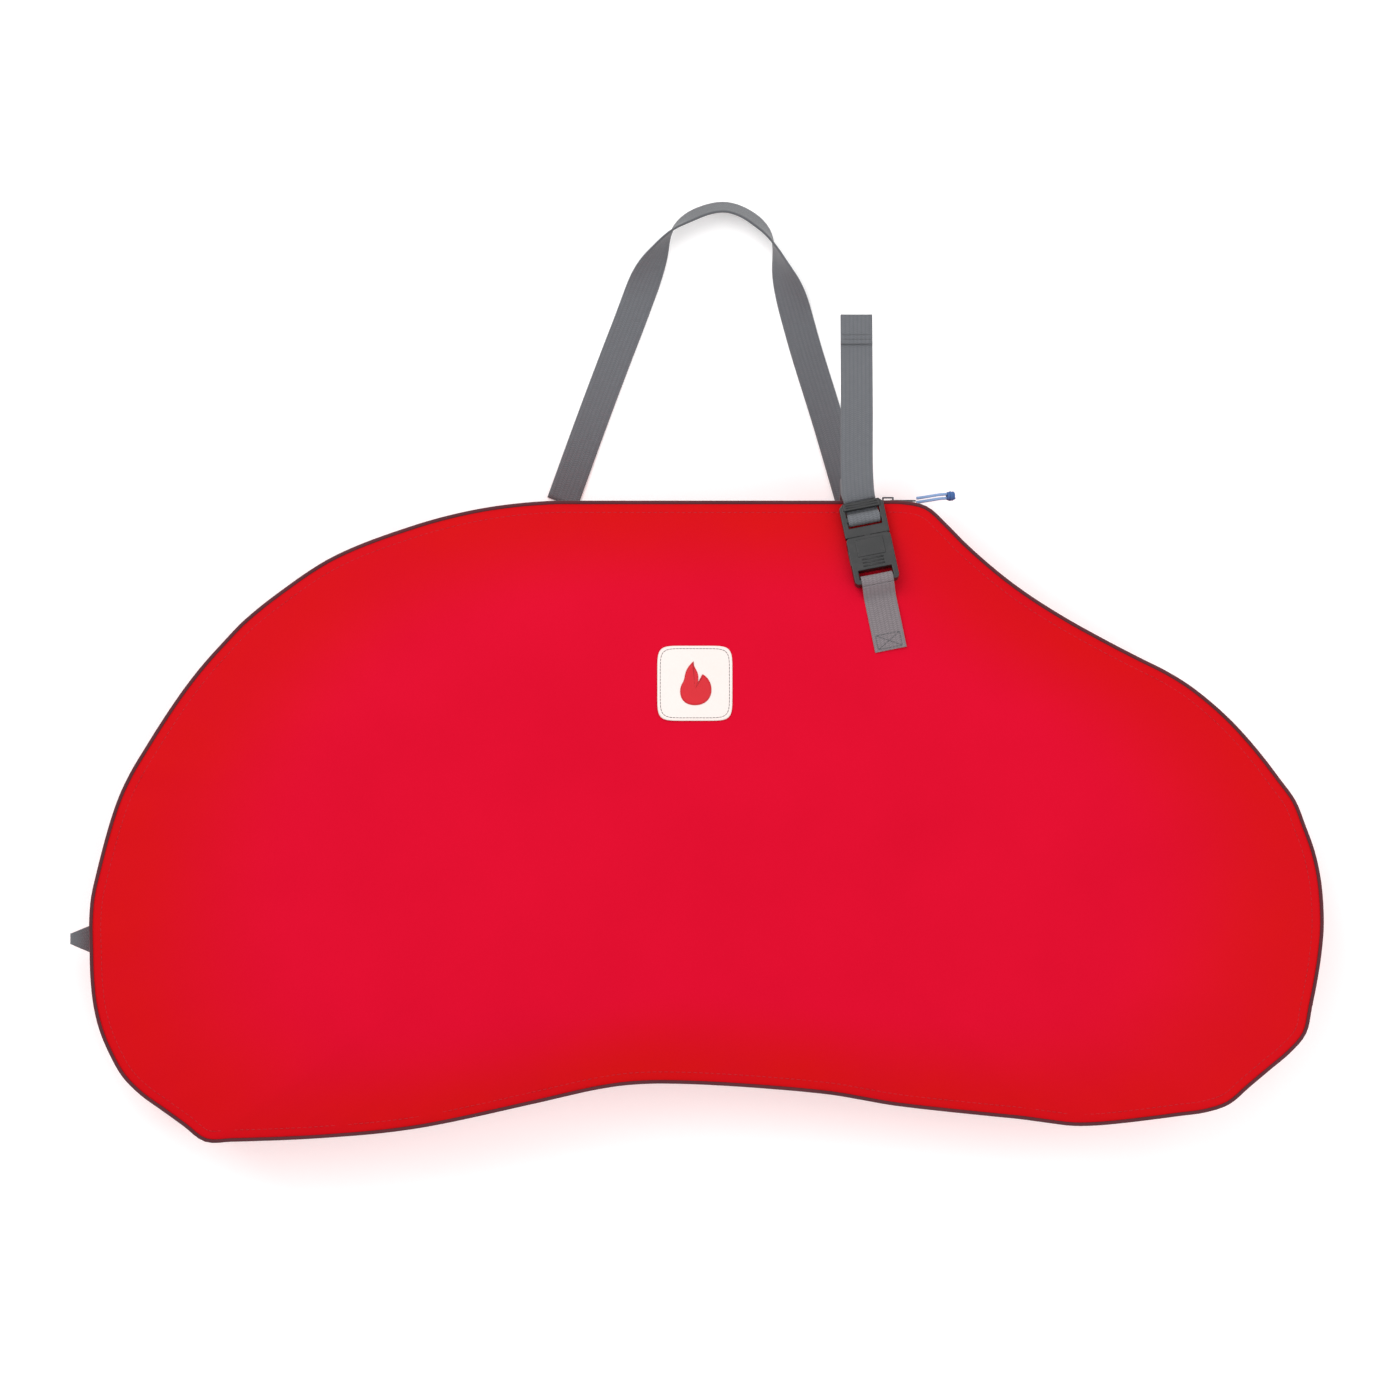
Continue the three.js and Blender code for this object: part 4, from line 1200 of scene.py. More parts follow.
    def zip_stitches(self, side: str, height: float, body: str | None) -> None:
        """A row of thread along the zip.

        Args:
            side: which side of the zip, for the piece's name.
            height: above the floor.
            body: the CAD body that it rides on, or None when it is attached to none.
        """
        count = round(ZIP_END * OUTLINE.length / self.stitch_pitch)
        places = []
        for k in range(count):
            share = ZIP_END * (k + 0.5) / count
            at = OUTLINE.at(share, -0.6 * MM, height)
            outward = OUTLINE.outward(share)
            places.append(rod_matrix(at, OUTLINE.travel(share), self.stitch, 0.7 * MM, 0.7 * MM, outward))
        dress(blocks(f"zip_stitch_{side}", places, THIN_SIDES), THREAD, "bag_cloth", body)


# ------------------------------------------------------------------ zip
@dataclass
class Zip:
    """Tapes, coils, end stops, slider and pull."""

    coil_pitch: float = 2.0 * MM
    coil_wire: float = 1.0 * MM
    coil_depth: float = 2.6 * MM
    around: int = 480
    cloth: float = 0.8 * MM
    reach: float = 1.6 * MM

    def build(self) -> None:
        """Makes and dresses the whole zip."""
        self.tapes()
        self.coils()
        self.ends()
        self.slider()

    def tapes(self) -> None:
        """The two woven tapes."""
        self.tape("rear", "bag", "zip_tape_rear")
        self.tape("front", None, "zip_tape_flap", "zip_tape_front_end")

    def tape(self, side: str, body: str | None, *nodes: str) -> None:
        """One woven tape.

        Args:
            side: which side of the zip, for the piece's name.
            body: the CAD body that it rides on, or None when it is attached to none.
            nodes: the CAD nodes that it stands for, the first of which gives its height.
        """
        low, high = (corner.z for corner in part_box(nodes[0]))
        tall = high - low

        def place(a: float, b: float) -> Vector:
            """Bends the grid to the tape."""
            height = low - self.reach + (tall + 2 * self.reach) * b
            return OUTLINE.at(a * ZIP_END, WALL_OFFSET, height)

        def measure(a: float, b: float) -> tuple[float, float]:
            """Distance along and across the tape."""
            return a * ZIP_END * OUTLINE.length, b * tall

        columns = round(ZIP_END * self.around)
        piece = mapped_grid(f"zip_tape_{side}_cloth", columns, 4, place, measure, Facing.OUTWARD)
        thicken(piece, self.cloth, 0.0)
        dress(piece, TAPE, "zip_tape", body, *nodes)

    def coils(self) -> None:
        """Both rows of coil, each turn a short pin across its tape's edge, set half a pitch apart."""
        total = round(ZIP_END * OUTLINE.length / self.coil_pitch)
        rows = (("rear", ["zip_teeth_rear"], 0.0), ("front", ["zip_teeth_flap", "zip_teeth_front_end"], 0.5))
        for side, nodes, shift in rows:
            low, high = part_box(nodes[0])
            middle = (low.z + high.z) / 2
            length = high.z - low.z + 0.5 * MM
            places = []
            for k in range(total):
                share = ZIP_END * (k + 0.25 + shift) / (total + 1)
                at = OUTLINE.at(share, WALL_OFFSET + 0.1 * MM, middle)
                outward = OUTLINE.outward(share)
                places.append(rod_matrix(at, UP, length, self.coil_wire, self.coil_depth, outward))
            coil = blocks(f"zip_coil_{side}", places, THIN_SIDES)
            dress(coil, COIL, "zip_coil", "bag" if side == "rear" else None, *nodes)

    def ends(self) -> None:
        """The pressed stop at the zip's right end."""
        stop = softened_copy("zip_stop", "zip_end_stop", 0.3 * MM)
        dress(stop, DARK_METAL, "slider_metal", "bag", "zip_stop")

    def slider(self) -> None:
        """The slider body with its bail, and the pull that hangs in it."""
        slider = softened_copy("slider", "slider_body", 0.45 * MM, 3)
        dress(slider, DARK_METAL, "slider_metal", "slider", "slider")
        plate = softened_copy("pull_tab", "pull_plate", 0.3 * MM)
        dress(plate, DARK_METAL, "slider_metal", "pull", "pull_tab")


# millimetres past the pull's end, aside of its middle line, and above the floor
CORD_POINTS = ((0.4, 0.4, 50.0), (6.0, 1.2, 49.8), (12.0, 2.2, 48.6), (18.0, 3.2, 46.4), (23.4, 3.7, 43.8))


@dataclass
class PullCord:
    """The cord loop tied to the zip's pull, and its knot."""

    diameter: float = 2.4 * MM
    spread: float = 3.2 * MM
    turns: int = 3
    steps: int = 90
    quarter_steps: int = 4
    knot_steps: int = 26
    knot_travel: tuple[float, float, float] = (0.9, 0.1, -0.42)
    knot_taper: float = 0.3

    def route(self) -> list[Vector]:
        """The two runs of the loop and the turn that joins them inside the knot.

        Returns:
            The middle line, from the pull's eye out to the knot and back.
        """
        low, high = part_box("pull_tab")
        middle = (low.y + high.y) / 2
        runs = {}
        for side in (1, -1):
            aside = middle + side * self.spread / 2
            runs[side] = [Vector((high.x + x * MM, aside + y * MM, z * MM)) for x, y, z in CORD_POINTS]
        knot = sum(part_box("cord_knot"), Vector()) / 2
        onward = (knot - runs[1][-1].lerp(runs[-1][-1], 0.5)).normalized()
        radius = self.spread / 2
        turn = []
        for step in range(-self.quarter_steps, self.quarter_steps + 1):
            angle = math.pi / 2 * step / self.quarter_steps
            aside = Vector((0.0, -math.sin(angle) * radius, 0.0))
            turn.append(knot + onward * math.cos(angle) * radius + aside)
        return smooth_path([*runs[1], *turn, *reversed(runs[-1])], self.steps)

    def build(self) -> None:
        line = self.route()
        stations = stations_along(line, lambda share, travel: UP)
        cord = sweep("pull_cord", stations, round_section(self.diameter, CORD_SIDES))
        knot = self.knot()
        dress(cord, BLUE_CORD, "cord", "pull", "cord_run_outer", "cord_run_inner")
        # The knot wears the cord's darker copy, painted shade.
        dress(knot, SHADED_BLUE_KNOT, "cord", "pull", "cord_knot")
        path_length(line)

    def knot(self) -> bpy.types.Object:
        """A few tight turns of the same cord round both runs.

        Returns:
            The knot.
        """
        low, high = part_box("cord_knot")
        middle = (low + high) / 2
        travel = Vector(self.knot_travel).normalized()
        side = travel.cross(UP).normalized()
        top = side.cross(travel)
        reach = (high.z - low.z) / 2 - self.diameter / 2 - 0.1 * MM
        line = []
        steps = self.knot_steps * self.turns
        for k in range(steps + 1):
            angle = 2 * math.pi * self.turns * k / steps
            slide = (k / steps - 0.5) * self.diameter * (self.turns - 0.4)
            swell = 1.0 - self.knot_taper * (2 * k / steps - 1) ** 2
            round_it = side * math.cos(angle) + top * math.sin(angle)
            line.append(middle + travel * slide + round_it * reach * swell)
        stations = stations_along(line, lambda share, direction: travel)
        return sweep("pull_knot", stations, round_section(self.diameter, CORD_SIDES))


# ------------------------------------------------------------------ webbing
TACK_PITCH = 2.6 * MM


def bar_tack(
    name: str, middle: Vector, across: Vector, along: Vector, size: tuple[float, float], body: str
) -> bpy.types.Object:
    """A sewn box with a cross in it, as holds a webbing end.

    Args:
        name: the piece's name.
        middle: the middle of the box, on the webbing's face.
        across: unit direction of its width.
        along: unit direction of its length.
        size: width and length.
        body: the CAD body that it rides on.

    Returns:
        The stitches as one piece.
    """
    width, length = size
    up = across.cross(along).normalized()
    half_x, half_y = width / 2, length / 2
    corners = [(-half_x, -half_y), (half_x, -half_y), (half_x, half_y), (-half_x, half_y)]
    runs = [(corners[k], corners[(k + 1) % 4]) for k in range(4)]
    runs += [(corners[0], corners[2]), (corners[1], corners[3])]
    places = []
    for (ax, ay), (bx, by) in runs:
        start = middle + across * ax + along * ay
        end = middle + across * bx + along * by
        count = max(3, round((end - start).length / TACK_PITCH))
        for k in range(count):
            at = start.lerp(end, (k + 0.5) / count)
            places.append(rod_matrix(at, end - start, 2.0 * MM, 0.55 * MM, 0.5 * MM, up))
    return dress(blocks(name, places, THIN_SIDES), GREY_THREAD, "webbing", body)


# millimetres across the bag, and share of the handle's rise
HANDLE_PLAN = (
    (-108.5, 0.0), (-84, 0.29), (-58, 0.585), (-35, 0.83), (-16, 0.945), (20, 1.0),
    (50, 0.93), (67, 0.76), (84, 0.51), (102, 0.26), (119.5, 0.0),
)


@dataclass
class CarryHandle:
    """The carry handle: one band that lies flat at both roots and turns over at its crown."""

    width: float = 25 * MM
    thickness: float = 1.8 * MM
    rise: float = 232 * MM
    turn: float = math.radians(110)
    # how strongly the painted shade darkens the turned crown
    painted_crown_shade: float = 0.95
    steps: int = 150

    def turned(self, t: float) -> float:
        """How far the band has turned at a share of its length."""
        return self.turn * smooth_step(0.31, 0.47, t) * (1 - smooth_step(0.56, 0.73, t))

    def build(self) -> None:
        """Makes and dresses the band."""
        low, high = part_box("handle_webbing")
        root = low.y
        floor = low.z + self.thickness / 2
        points = [Vector((x * MM, root + share * self.rise, 0.0)) for x, share in HANDLE_PLAN]
        line = smooth_path(points, self.steps)
        raised = []
        for k, at in enumerate(line):
            half = abs(math.sin(self.turned(k / (len(line) - 1)))) * self.width / 2
            raised.append(at + UP * (floor + half))

        def side(t: float, travel: Vector) -> Vector:
            """The width direction, turned about the band's own line."""
            flat = travel.cross(UP).normalized()
            return Matrix.Rotation(self.turned(t), 3, travel) @ flat

        stations = [
            Station(s.at, s.side, s.side.cross(t).normalized())
            for s, t in zip(stations_along(raised, side), travels(line))
        ]
        band = sweep("handle_band", stations, webbing_section(self.width, self.thickness))
        # Painted shade: darkens the band's turned crown, standing in for the shade that falls on it.
        set_attribute(
            band, "painted_crown_shade", lambda co: self.painted_crown_shade * smooth_step(0.8, 0.92, (co.y - root) / self.rise)
        )
        dress(band, GREY_WEBBING, "webbing", "handle", "handle_webbing")


LATCH_PIVOT = (-7, 5, 5)  # millimetres along the buckle's axes


class BuckleSeat:
    """The buckle's own axes, read from its joints."""

    def __init__(self) -> None:
        """Reads the slide and latch joints."""
        self.along = -Vector(joint("buckle_release")["axis"]).normalized()
        self.up = Vector(joint("latch_left_squeeze")["axis"]).normalized()
        self.across = self.along.cross(self.up).normalized()
        pivot = Vector(joint("latch_left_squeeze")["pos_m"])
        x, y, z = LATCH_PIVOT
        self.origin = pivot - (self.across * x + self.along * y + self.up * z) * MM

    def at(self, x: float, y: float, z: float) -> Vector:
        """A point given in millimetres along the buckle's axes."""
        return self.origin + (self.across * x + self.along * y + self.up * z) * MM


SEAT = BuckleSeat()


# millimetres out from the rear piping, and above the floor
STRAP_POINTS = ((-2.1, 8.0), (-2.05, 17.0), (7.2, 32.0), (16.0, 44.0), (17.0, 56.0), (11.9, 76.0), (6.0, 94.0))
# the rest are millimetres along and above the buckle
STRAP_UNDER = ((38, 1.2), (33.5, 1.2), (30, 1.15))
LADDER_UNDER = ((30.2, 1.15), (26.0, 1.0), (20.0, 0.95), (16.6, 1.9))
LADDER_OVER = (
    (16.2, 4.8), (17.2, 7.9), (20.0, 8.95), (22.8, 7.9), (23.8, 5.4), (25.6, 3.7), (28.4, 3.3), (34.0, 3.3),
)
SOCKET_TURN = ((-26.6, 2.2), (-26.9, 7.0), (-28.6, 10.9), (-31.4, 11.2), (-34.6, 9.0), (-37.6, 5.2))
TURN_END = -34.2


@dataclass
class ClosingStrap:
    """The strap from the rear wall, its free tail, and the lower webbing sewn to the front."""

    width: float = 25 * MM
    thickness: float = 1.7 * MM
    strap_x: float = 122 * MM
    bulge: float = 18 * MM
    sewn_x: float = 148 * MM
    sewn_y: float = 117 * MM
    hem: float = 0.825
    tail_reach: float = 145 * MM
    tail_fall: float = 34 * MM
    tack_width: float = 19 * MM

    def section(self) -> list[tuple[float, float]]:
        """The band's section."""
        return webbing_section(self.width, self.thickness)

    def band(
        self, name: str, points: Sequence[Vector], side: Callable[[float, Vector], Vector], count: int
    ) -> bpy.types.Object:
        """A band of webbing through chosen points.

        Args:
            name: the piece's name.
            points: the chosen points.
            side: its width direction at a share of the way.
            count: stations along it.

        Returns:
            The band.
        """
        return sweep(name, stations_along(smooth_path(points, count), side), self.section())

    def build(self) -> None:
        """Makes and dresses the strap's pieces."""
        self.strap()
        self.ladder()
        self.tail()
        self.anchor()

    def strap(self) -> None:
        """From the rear wall, out past the slider, and under the ladder bar."""
        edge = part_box("piping_rear")[1].y
        points = [Vector((self.strap_x, edge + y * MM, z * MM)) for y, z in STRAP_POINTS]
        points += [SEAT.at(0, y, z) for y, z in STRAP_UNDER]

        def side(t: float, _: Vector) -> Vector:
            """The width direction, level at first and then the buckle's."""
            return EAST.lerp(SEAT.across, smooth_step(0.7, 0.95, t))

        band = self.band("closing_band", points, side, 70)
        dress(band, GREY_WEBBING, "webbing", "bag", "closing_strap")
        root = Vector((self.strap_x, edge - 2.1 * MM + self.thickness * 0.45, 13 * MM))
        bar_tack("strap_root_tack", root, -EAST, UP, (self.tack_width, 8 * MM), "bag")

    def ladder(self) -> None:
        """The band on under the ladder, up round its middle bar, and back out under the end bar."""
        points = [SEAT.at(0, y, z) for y, z in (*LADDER_UNDER, *LADDER_OVER)]
        band = self.band("ladder_band", points, lambda t, _: SEAT.across, 70)
        dress(band, GREY_WEBBING, "webbing", "bag")

    def tail(self) -> None:
        """The free tail with its folded and stitched hem."""
        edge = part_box("piping_rear")[1].y
        start = SEAT.at(0, 34.3, 3.3)
        falls = ((22 * MM, 0.05), (70 * MM, 0.28), (0.78 * self.tail_reach, 0.66), (self.tail_reach, 1.0))
        path = [start, SEAT.at(0, 39, 3.9)]
        path += [Vector((self.strap_x, edge + y, start.z - self.tail_fall * share)) for y, share in falls]

        def side(t: float, _: Vector) -> Vector:
            """The width direction, the buckle's at first and then level."""
            return SEAT.across.lerp(EAST, smooth_step(0.0, 0.15, t))

        stations = stations_along(smooth_path(path, 80), side)
        piece = sweep("tail_band", stations, self.section())
        dress(piece, GREY_WEBBING, "webbing", "tail", "strap_tail")
        first = round(self.hem * len(stations))
        lifted = [Station(s.at + s.up * self.thickness * 0.98, s.side, s.up) for s in stations[first:]]
        dress(sweep("tail_hem", lifted, self.section()), GREY_WEBBING, "webbing", "tail")
        self.hem_stitches(lifted)

    def hem_stitches(self, lifted: Sequence[Station]) -> None:
        """Two rows of thread across the folded hem.

        Args:
            lifted: the hem's stations.
        """
        places = []
        for station, after in ((lifted[2], lifted[3]), (lifted[4], lifted[5])):
            travel = (after.at - station.at).normalized()
            for k in range(9):
                x = (k / 8 - 0.5) * (self.width - 4 * MM)
                at = station.at + station.side * x + station.up * self.thickness * 0.47
                up = travel.cross(station.side)
                places.append(rod_matrix(at, station.side, 1.9 * MM, 0.6 * MM, 0.5 * MM, up))
        dress(blocks("tail_hem_stitches", places, THIN_SIDES), GREY_THREAD, "webbing", "tail")

    def anchor(self) -> None:
        """The lower webbing: a turn over the socket's bar that goes with it, and a band to its sewn end."""
        points = [SEAT.at(0, y, z) for y, z in SOCKET_TURN]
        start = SEAT.at(0, -33.5, 0)
        end = Vector((self.sewn_x, self.sewn_y, 0.0))
        for share in (0.2, 0.45, 0.72, 1.0):
            plan = start.lerp(end, share)
            points.append(on_panel(plan.x, plan.y, 1.3 * MM))
        stations = stations_along(smooth_path(points, 90), lambda t, _: -SEAT.across)
        below = [(s.at - SEAT.origin).dot(SEAT.along) < TURN_END * MM for s in stations]
        split = below.index(True)
        cut = stations[split]
        square = SEAT.up if cut.up.dot(SEAT.up) > 0 else -SEAT.up
        turn = [*stations[:split], Station(cut.at, cut.side, square)]
        # Both anchor pieces wear the webbing's copy with painted red bounce light.
        dress(sweep("anchor_turn", turn, self.section()), RED_BOUNCE_WEBBING, "webbing", "socket")
        onward = [Station(cut.at - SEAT.along * 0.2 * MM, cut.side, square), *stations[split + 1:]]
        band = sweep("anchor_band", onward, self.section())
        dress(band, RED_BOUNCE_WEBBING, "webbing", "bag", "anchor_webbing")
        sewn = on_panel(end.x, end.y)
        free = (cut.at - sewn).dot(SEAT.along)
        slide = max(joint("buckle_release")["range_m"])
        tuple(SEAT.along)
        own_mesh(band)
        last = stations[-10]
        travel = (stations[-1].at - last.at).normalized()
        face = last.at + last.up * self.thickness * 0.46
        bar_tack("anchor_tack", face, -last.side, travel, (self.tack_width, 11 * MM), "bag")


@dataclass
class Buckle:
    """The side-release buckle: socket, plug with its ladder bars, and the two latch arms."""

    edge: float = 0.9 * MM
    bar_sides: int = 12

    def build(self) -> None:
        """Makes and dresses the buckle's pieces."""
        socket = softened_copy("buckle_socket", "socket_body", self.edge, 3)
        dress(socket, BLACK_PLASTIC, "buckle_plastic", "socket", "buckle_socket")
        plug = softened_copy("buckle_plug", "plug_body", self.edge * 0.7, 3)
        dress(plug, BLACK_PLASTIC, "buckle_plastic", "bag", "buckle_plug")
        for side in ("left", "right"):
            arm = softened_copy(f"latch_arm_{side}", f"latch_{side}", 0.5 * MM, 2)
            dress(arm, BLACK_PLASTIC, "buckle_plastic", f"latch_{side}", f"latch_arm_{side}")
        self.grips()
        self.crown()

    def grips(self) -> None:
        """Raised bars across the socket's face and on the ladder's end bar."""
        places = [
            rod_matrix(SEAT.at(0, y, 10.0), SEAT.across, 17 * MM, 1.2 * MM, 0.9 * MM, SEAT.up)
            for y in (-19, -16.4, -13.8)
        ]
        dress(blocks("socket_grip_bars", places, self.bar_sides), BLACK_PLASTIC, "buckle_plastic", "socket")
        places = [
            rod_matrix(SEAT.at(0, y, 9.4), SEAT.across, 25 * MM, 0.9 * MM, 0.8 * MM, SEAT.up)
            for y in (29.0, 31.0)
        ]
        dress(blocks("plug_grip_bars", places, self.bar_sides), BLACK_PLASTIC, "buckle_plastic", "bag")

    def crown(self) -> None:
        """A shallow raised panel on the socket, with rounded edges."""
        bm = bmesh.new()
        turn = Matrix((SEAT.across, SEAT.along, SEAT.up)).transposed().to_4x4()
        size = Matrix.Diagonal((22 * MM, 14 * MM, 1.2 * MM, 1.0))
        bmesh.ops.create_cube(bm, size=1.0, matrix=Matrix.Translation(SEAT.at(0, -4.5, 10.0)) @ turn @ size)
        bmesh.ops.bevel(
            bm, geom=bm.edges[:], offset=0.5 * MM, offset_type="OFFSET", affect="EDGES", segments=3,
            profile=0.5, material=-1,
        )
        dress(finish_mesh(bm, "socket_face_panel", False), BLACK_PLASTIC, "buckle_plastic", "socket")


@dataclass
class GrabTab:
    """The folded loop of webbing at the zip's left end, pinched towards its tip."""

    thickness: float = 1.5 * MM
    steps: int = 56
    tip: float = 0.34

    def build(self) -> None:
        """Makes and dresses the loop."""
        low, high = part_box("grab_tab")
        root = Vector((high.x, (low.y + high.y) / 2, (low.z + high.z) / 2))
        reach = high.x - low.x - self.thickness / 2
        belly = (high.z - low.z) / 2 - self.thickness / 2
        shape = [(0.0, -0.18), (-0.3, -1.0), (-0.68, -1.0), (-1.0, 0.0), (-0.68, 1.0), (-0.3, 1.0), (0.0, 0.18)]
        line = smooth_path([root + Vector((x * reach, 0.0, z * belly)) for x, z in shape], self.steps)
        stations = stations_along(line, lambda t, _: Vector((0.0, 1.0, 0.0)))
        wide = high.y - low.y
        band = sweep("grab_loop", stations, webbing_section(wide, self.thickness))
        for vert in band.data.vertices:
            narrow = 1.0 + (self.tip - 1.0) * min(1.0, (root.x - vert.co.x) / reach)
            vert.co.y = root.y + (vert.co.y - root.y) * narrow
        dress(band, GREY_WEBBING, "webbing", "tab", "grab_tab")


# ------------------------------------------------------------------ blanket and badge
@dataclass
class Blanket:
    """The glass-cloth blanket, pleated lengthwise and then folded into the bag, and its pull loops."""

    flat_width: float = 6.0
    flat_length: float = 8.0
    folds: int = 9
    fold_steps: int = 6
    pleat_steps: int = 4
    margin: float = 3 * MM
    slack: float = 0.93
    disorder: float = 2.2 * MM
    loop_half_length: float = 40 * MM
    loop_half_width: float = 17 * MM
    loop_turn: float = math.radians(30)
    loop_steps: int = 72

    def zigzag(self, share: float, leaves: int, steps: int) -> tuple[int, float]:
        """Where a grid line of the flat cloth falls once it is folded.

        Args:
            share: the line's place in the grid, from 0 to 1.
            leaves: how many leaves the cloth is folded into.
            steps: grid lines on each leaf.

        Returns:
            The leaf, and how far along that leaf the line is.
        """
        leaf, step = divmod(round(share * (leaves * steps - 1)), steps)
        return leaf, step / (steps - 1)

    def build(self) -> None:
        """Makes and dresses the blanket and its loops."""
        low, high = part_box("blanket")
        span = high - low
        pleats = math.ceil(self.flat_length / span.y)
        leaf = span.z / self.folds
        pitch = leaf * self.slack / pleats

        def place(a: float, b: float) -> Vector:
            """Folds the flat cloth into the stack, each fold's inner layers set back from its outer ones."""
            fold, along_fold = self.zigzag(a, self.folds, self.fold_steps)
            pleat, along_pleat = self.zigzag(b, pleats, self.pleat_steps)
            across = along_fold if fold % 2 == 0 else 1 - along_fold
            down = along_pleat if pleat % 2 == 0 else 1 - along_pleat
            level = (pleat + 0.5) * pitch
            turned = leaf * self.slack - level
            left = self.margin + turned / 2
            right = span.x - self.margin - level / 2
            x = left + (right - left) * across
            y = self.margin + (span.y - 2 * self.margin) * down
            shift = self.disorder * noise.noise(Vector((fold * 3.1 + x * 2, pleat * 1.7, y * 2)))
            height = fold * leaf + (level if fold % 2 == 0 else turned) + 0.2 * MM
            return low + Vector((x + shift, y + 0.8 * shift, height))

        def measure(a: float, b: float) -> tuple[float, float]:
            """The place on the flat cloth in metres."""
            fold, along_fold = self.zigzag(a, self.folds, self.fold_steps)
            pleat, along_pleat = self.zigzag(b, pleats, self.pleat_steps)
            across = (fold + along_fold) * self.flat_width / self.folds
            return across, (pleat + along_pleat) * self.flat_length / pleats

        columns = self.folds * self.fold_steps - 1
        rows = pleats * self.pleat_steps - 1
        piece = mapped_grid("folded_blanket", columns, rows, place, measure, Facing.AS_MADE)
        dress(piece, GLASS_CLOTH, "blanket_glass", "bag", "blanket")
        for index in (1, 2):
            self.loop(index)

    def loop(self, index: int) -> None:
        """A pull loop of black tape lying on the folded blanket.

        Args:
            index: which loop.
        """
        low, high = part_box(f"blanket_loop_{index}")
        middle = (low + high) / 2
        long_half, short_half = self.loop_half_length, self.loop_half_width
        spin = Matrix.Rotation(self.loop_turn, 3, "Z")
        stations = []
        for k in range(self.loop_steps):
            angle = 2 * math.pi * k / self.loop_steps
            x, y = short_half * math.cos(angle), long_half * math.sin(angle)
            outward = Vector((math.cos(angle) * long_half, math.sin(angle) * short_half, 0)).normalized()
            stations.append(Station(middle + spin @ Vector((x, y, 0.4 * MM)), spin @ outward, UP))
        band = sweep(f"pull_loop_{index}", stations, webbing_section(12 * MM, 1.4 * MM), closed=True)
        dress(band, BLACK_TAPE, "loop_tape", "bag", f"blanket_loop_{index}")


@dataclass
class Badge:
    """The sewn badge with a plain flame, and the stitches round it."""

    squareness: float = 7.0
    cloth: float = 0.8 * MM
    flame_height: float = 34 * MM
    stitch_inset: float = 2.2 * MM
    stitches_round: int = 78

    def build(self) -> None:
        """Makes and dresses the badge."""
        low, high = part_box("badge")
        self.middle = (low + high) / 2
        self.half = (high.x - low.x) / 2
        self.patch()
        self.flame()
        self.stitches()

    def edge(self, angle: float, inset: float) -> Vector:
        """A point on the badge's rounded-square edge, in plan.

        Args:
            angle: direction from the middle.
            inset: how far inside the edge.

        Returns:
            The point relative to the badge's middle.
        """
        c, s = math.cos(angle), math.sin(angle)
        power = self.squareness
        radius = (self.half - inset) / (abs(c) ** power + abs(s) ** power) ** (1 / power)
        return Vector((c * radius, s * radius, 0.0))

    def patch(self) -> None:
        """The white cloth, which follows the panel under it."""
        def place(a: float, b: float) -> Vector:
            """Bends the grid to a rounded square on the panel."""
            plan = self.edge(2 * math.pi * a, 0.0) * b
            bead = 0.25 * MM * math.exp(-((1 - b) / 0.04) ** 2)
            return on_panel(self.middle.x + plan.x, self.middle.y + plan.y, 1.1 * MM + bead)

        piece = mapped_grid("badge_patch", 96, 20, place, lambda a, b: tuple(place(a, b).xy), Facing.UPWARD)
        thicken(piece, self.cloth)
        dress(piece, BADGE_CLOTH, "badge_cloth", "bag", "badge")

    def flame_edge(self, share: float) -> Vector:
        """A point on the flame's outline, relative to the badge's middle."""
        tall = self.flame_height / 2
        curves = [
            ((0, -tall), (16 * MM, -tall), (16 * MM, 2 * MM), (6 * MM, 7 * MM)),
            ((6 * MM, 7 * MM), (5 * MM, 3 * MM), (3 * MM, 3 * MM), (2 * MM, 0)),
            ((2 * MM, 0), (5 * MM, 9 * MM), (-2 * MM, 12 * MM), (-1 * MM, tall)),
            ((-1 * MM, tall), (-9 * MM, 10 * MM), (-7 * MM, 5 * MM), (-9 * MM, 1 * MM)),
            ((-9 * MM, 1 * MM), (-13 * MM, -4 * MM), (-13 * MM, -tall), (0, -tall)),
        ]
        at = share % 1.0 * len(curves)
        p0, p1, p2, p3 = (Vector((*p, 0.0)) for p in curves[int(at)])
        t = at - int(at)
        return p0 * (1 - t) ** 3 + p1 * 3 * t * (1 - t) ** 2 + p2 * 3 * t * t * (1 - t) + p3 * t ** 3

    def flame(self) -> None:
        """The printed flame, a thin raised shape."""
        heart = Vector((0.0, -5 * MM, 0.0))

        def place(a: float, b: float) -> Vector:
            """Bends the grid to the flame."""
            plan = heart.lerp(self.flame_edge(a), b)
            return on_panel(self.middle.x + plan.x, self.middle.y + plan.y, 1.5 * MM)

        def measure(a: float, b: float) -> tuple[float, float]:
            """The plan position in metres."""
            at = place(a, b)
            return at.x, at.y

        piece = mapped_grid("badge_flame_print", 80, 6, place, measure, Facing.UPWARD)
        thicken(piece, 0.3 * MM)
        dress(piece, BADGE_PRINT, "badge_print", "bag", "badge_flame")

    def stitches(self) -> None:
        """One row of thread just inside the badge's edge."""
        line = [self.edge(2 * math.pi * k / 240, self.stitch_inset) for k in range(241)]
        spaced = even_points(line, self.stitches_round)
        places = []
        for a, b in zip(spaced, spaced[1:]):
            plan = (a + b) / 2
            at = on_panel(self.middle.x + plan.x, self.middle.y + plan.y, 1.15 * MM)
            places.append(rod_matrix(at, b - a, 2.0 * MM, 0.5 * MM, 0.45 * MM, UP))
        dress(blocks("badge_stitches", places, THIN_SIDES), GREY_THREAD, "badge_cloth", "bag")


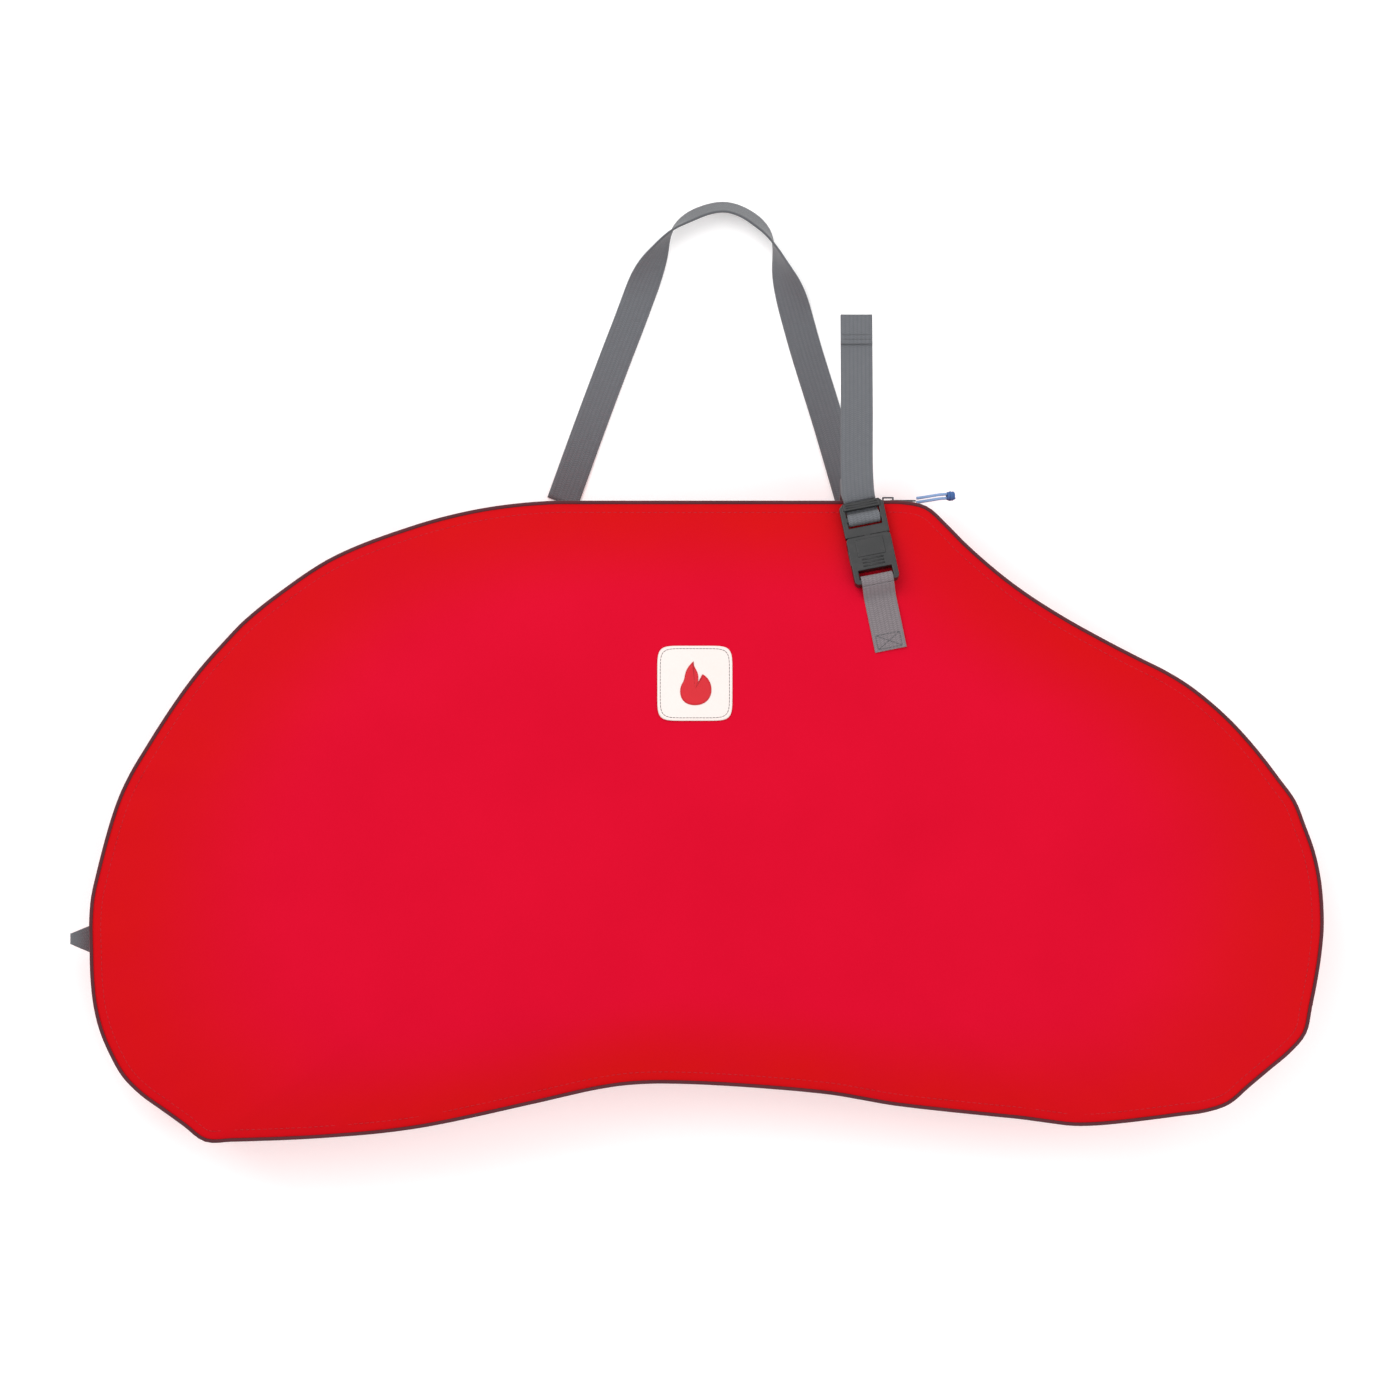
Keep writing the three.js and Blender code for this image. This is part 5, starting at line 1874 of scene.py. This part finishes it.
# ------------------------------------------------------------------ studio
@dataclass
class Studio:
    """A pale floor, soft light and a long-lens camera straight above."""

    view_width: float = 1.094
    view_centre: tuple[float, float] = (0.0, 0.078)
    lens: float = 250.0
    sensor: float = 36.0
    floor_glow: float = 0.16
    sky: float = 0.87

    def build(self) -> None:
        """Makes the floor, lights and camera."""
        self.floor()
        self.lights()
        self.camera()

    def floor(self) -> None:
        """A wide pale floor that the bag lies on."""
        bm = bmesh.new()
        bmesh.ops.create_grid(bm, x_segments=1, y_segments=1, size=14.0)
        floor = finish_mesh(bm, "studio_floor", smooth=False)
        material = bpy.data.materials.new("pale_floor")
        material.use_nodes = True
        shader = material.node_tree.nodes["Principled BSDF"]
        shader.inputs["Base Color"].default_value = (0.93, 0.93, 0.93, 1.0)
        shader.inputs["Roughness"].default_value = 0.9
        shader.inputs["Specular IOR Level"].default_value = 0.1
        shader.inputs["Emission Color"].default_value = (1.0, 1.0, 1.0, 1.0)
        shader.inputs["Emission Strength"].default_value = self.floor_glow
        floor.data.materials.append(material)
        floor.location.z = -0.3 * MM

    def lights(self) -> None:
        """One broad key from the upper left, a fill from the right, and an even white sky."""
        world = bpy.data.worlds.new("studio_sky")
        world.use_nodes = True
        world.node_tree.nodes["Background"].inputs[0].default_value = (1.0, 1.0, 1.0, 1.0)
        world.node_tree.nodes["Background"].inputs[1].default_value = self.sky
        bpy.context.scene.world = world
        for name, place, size, power in (
            ("key_light", (-1.3, 1.6, 2.6), 2.4, 54.0),
            ("fill_light", (1.8, -0.6, 2.4), 2.6, 31.0),
        ):
            data = bpy.data.lights.new(name, "AREA")
            data.energy = power
            data.size = size
            light = bpy.data.objects.new(name, data)
            light.location = place
            light.rotation_euler = (-Vector(place)).to_track_quat("-Z", "Y").to_euler()
            bpy.context.scene.collection.objects.link(light)

    def camera(self) -> None:
        """The camera, level over the bag, with its frame at the front seam's height."""
        data = bpy.data.cameras.new("camera")
        data.lens = self.lens
        data.sensor_width = self.sensor
        data.clip_end = 60.0
        camera = bpy.data.objects.new("camera", data)
        distance = self.view_width * self.lens / self.sensor
        camera.location = (*self.view_centre, SEAM_FRONT * 0.6 + distance)
        bpy.context.scene.collection.objects.link(camera)
        bpy.context.scene.camera = camera


def main() -> None:
    """Builds the studio and every piece of the bag."""
    logging.basicConfig(level=logging.INFO, format="%(name)s %(message)s")
    GROUPS.update(weave=build_weave_group(), ribs=build_ribs_group(), wear=build_wear_group())
    bpy.context.scene.view_settings.view_transform = "Standard"
    Studio().build()
    PullCord().build()
    BagShell().build()
    Zip().build()
    CarryHandle().build()
    ClosingStrap().build()
    Buckle().build()
    GrabTab().build()
    Blanket().build()
    Badge().build()


if __name__ == "__main__":
    main()
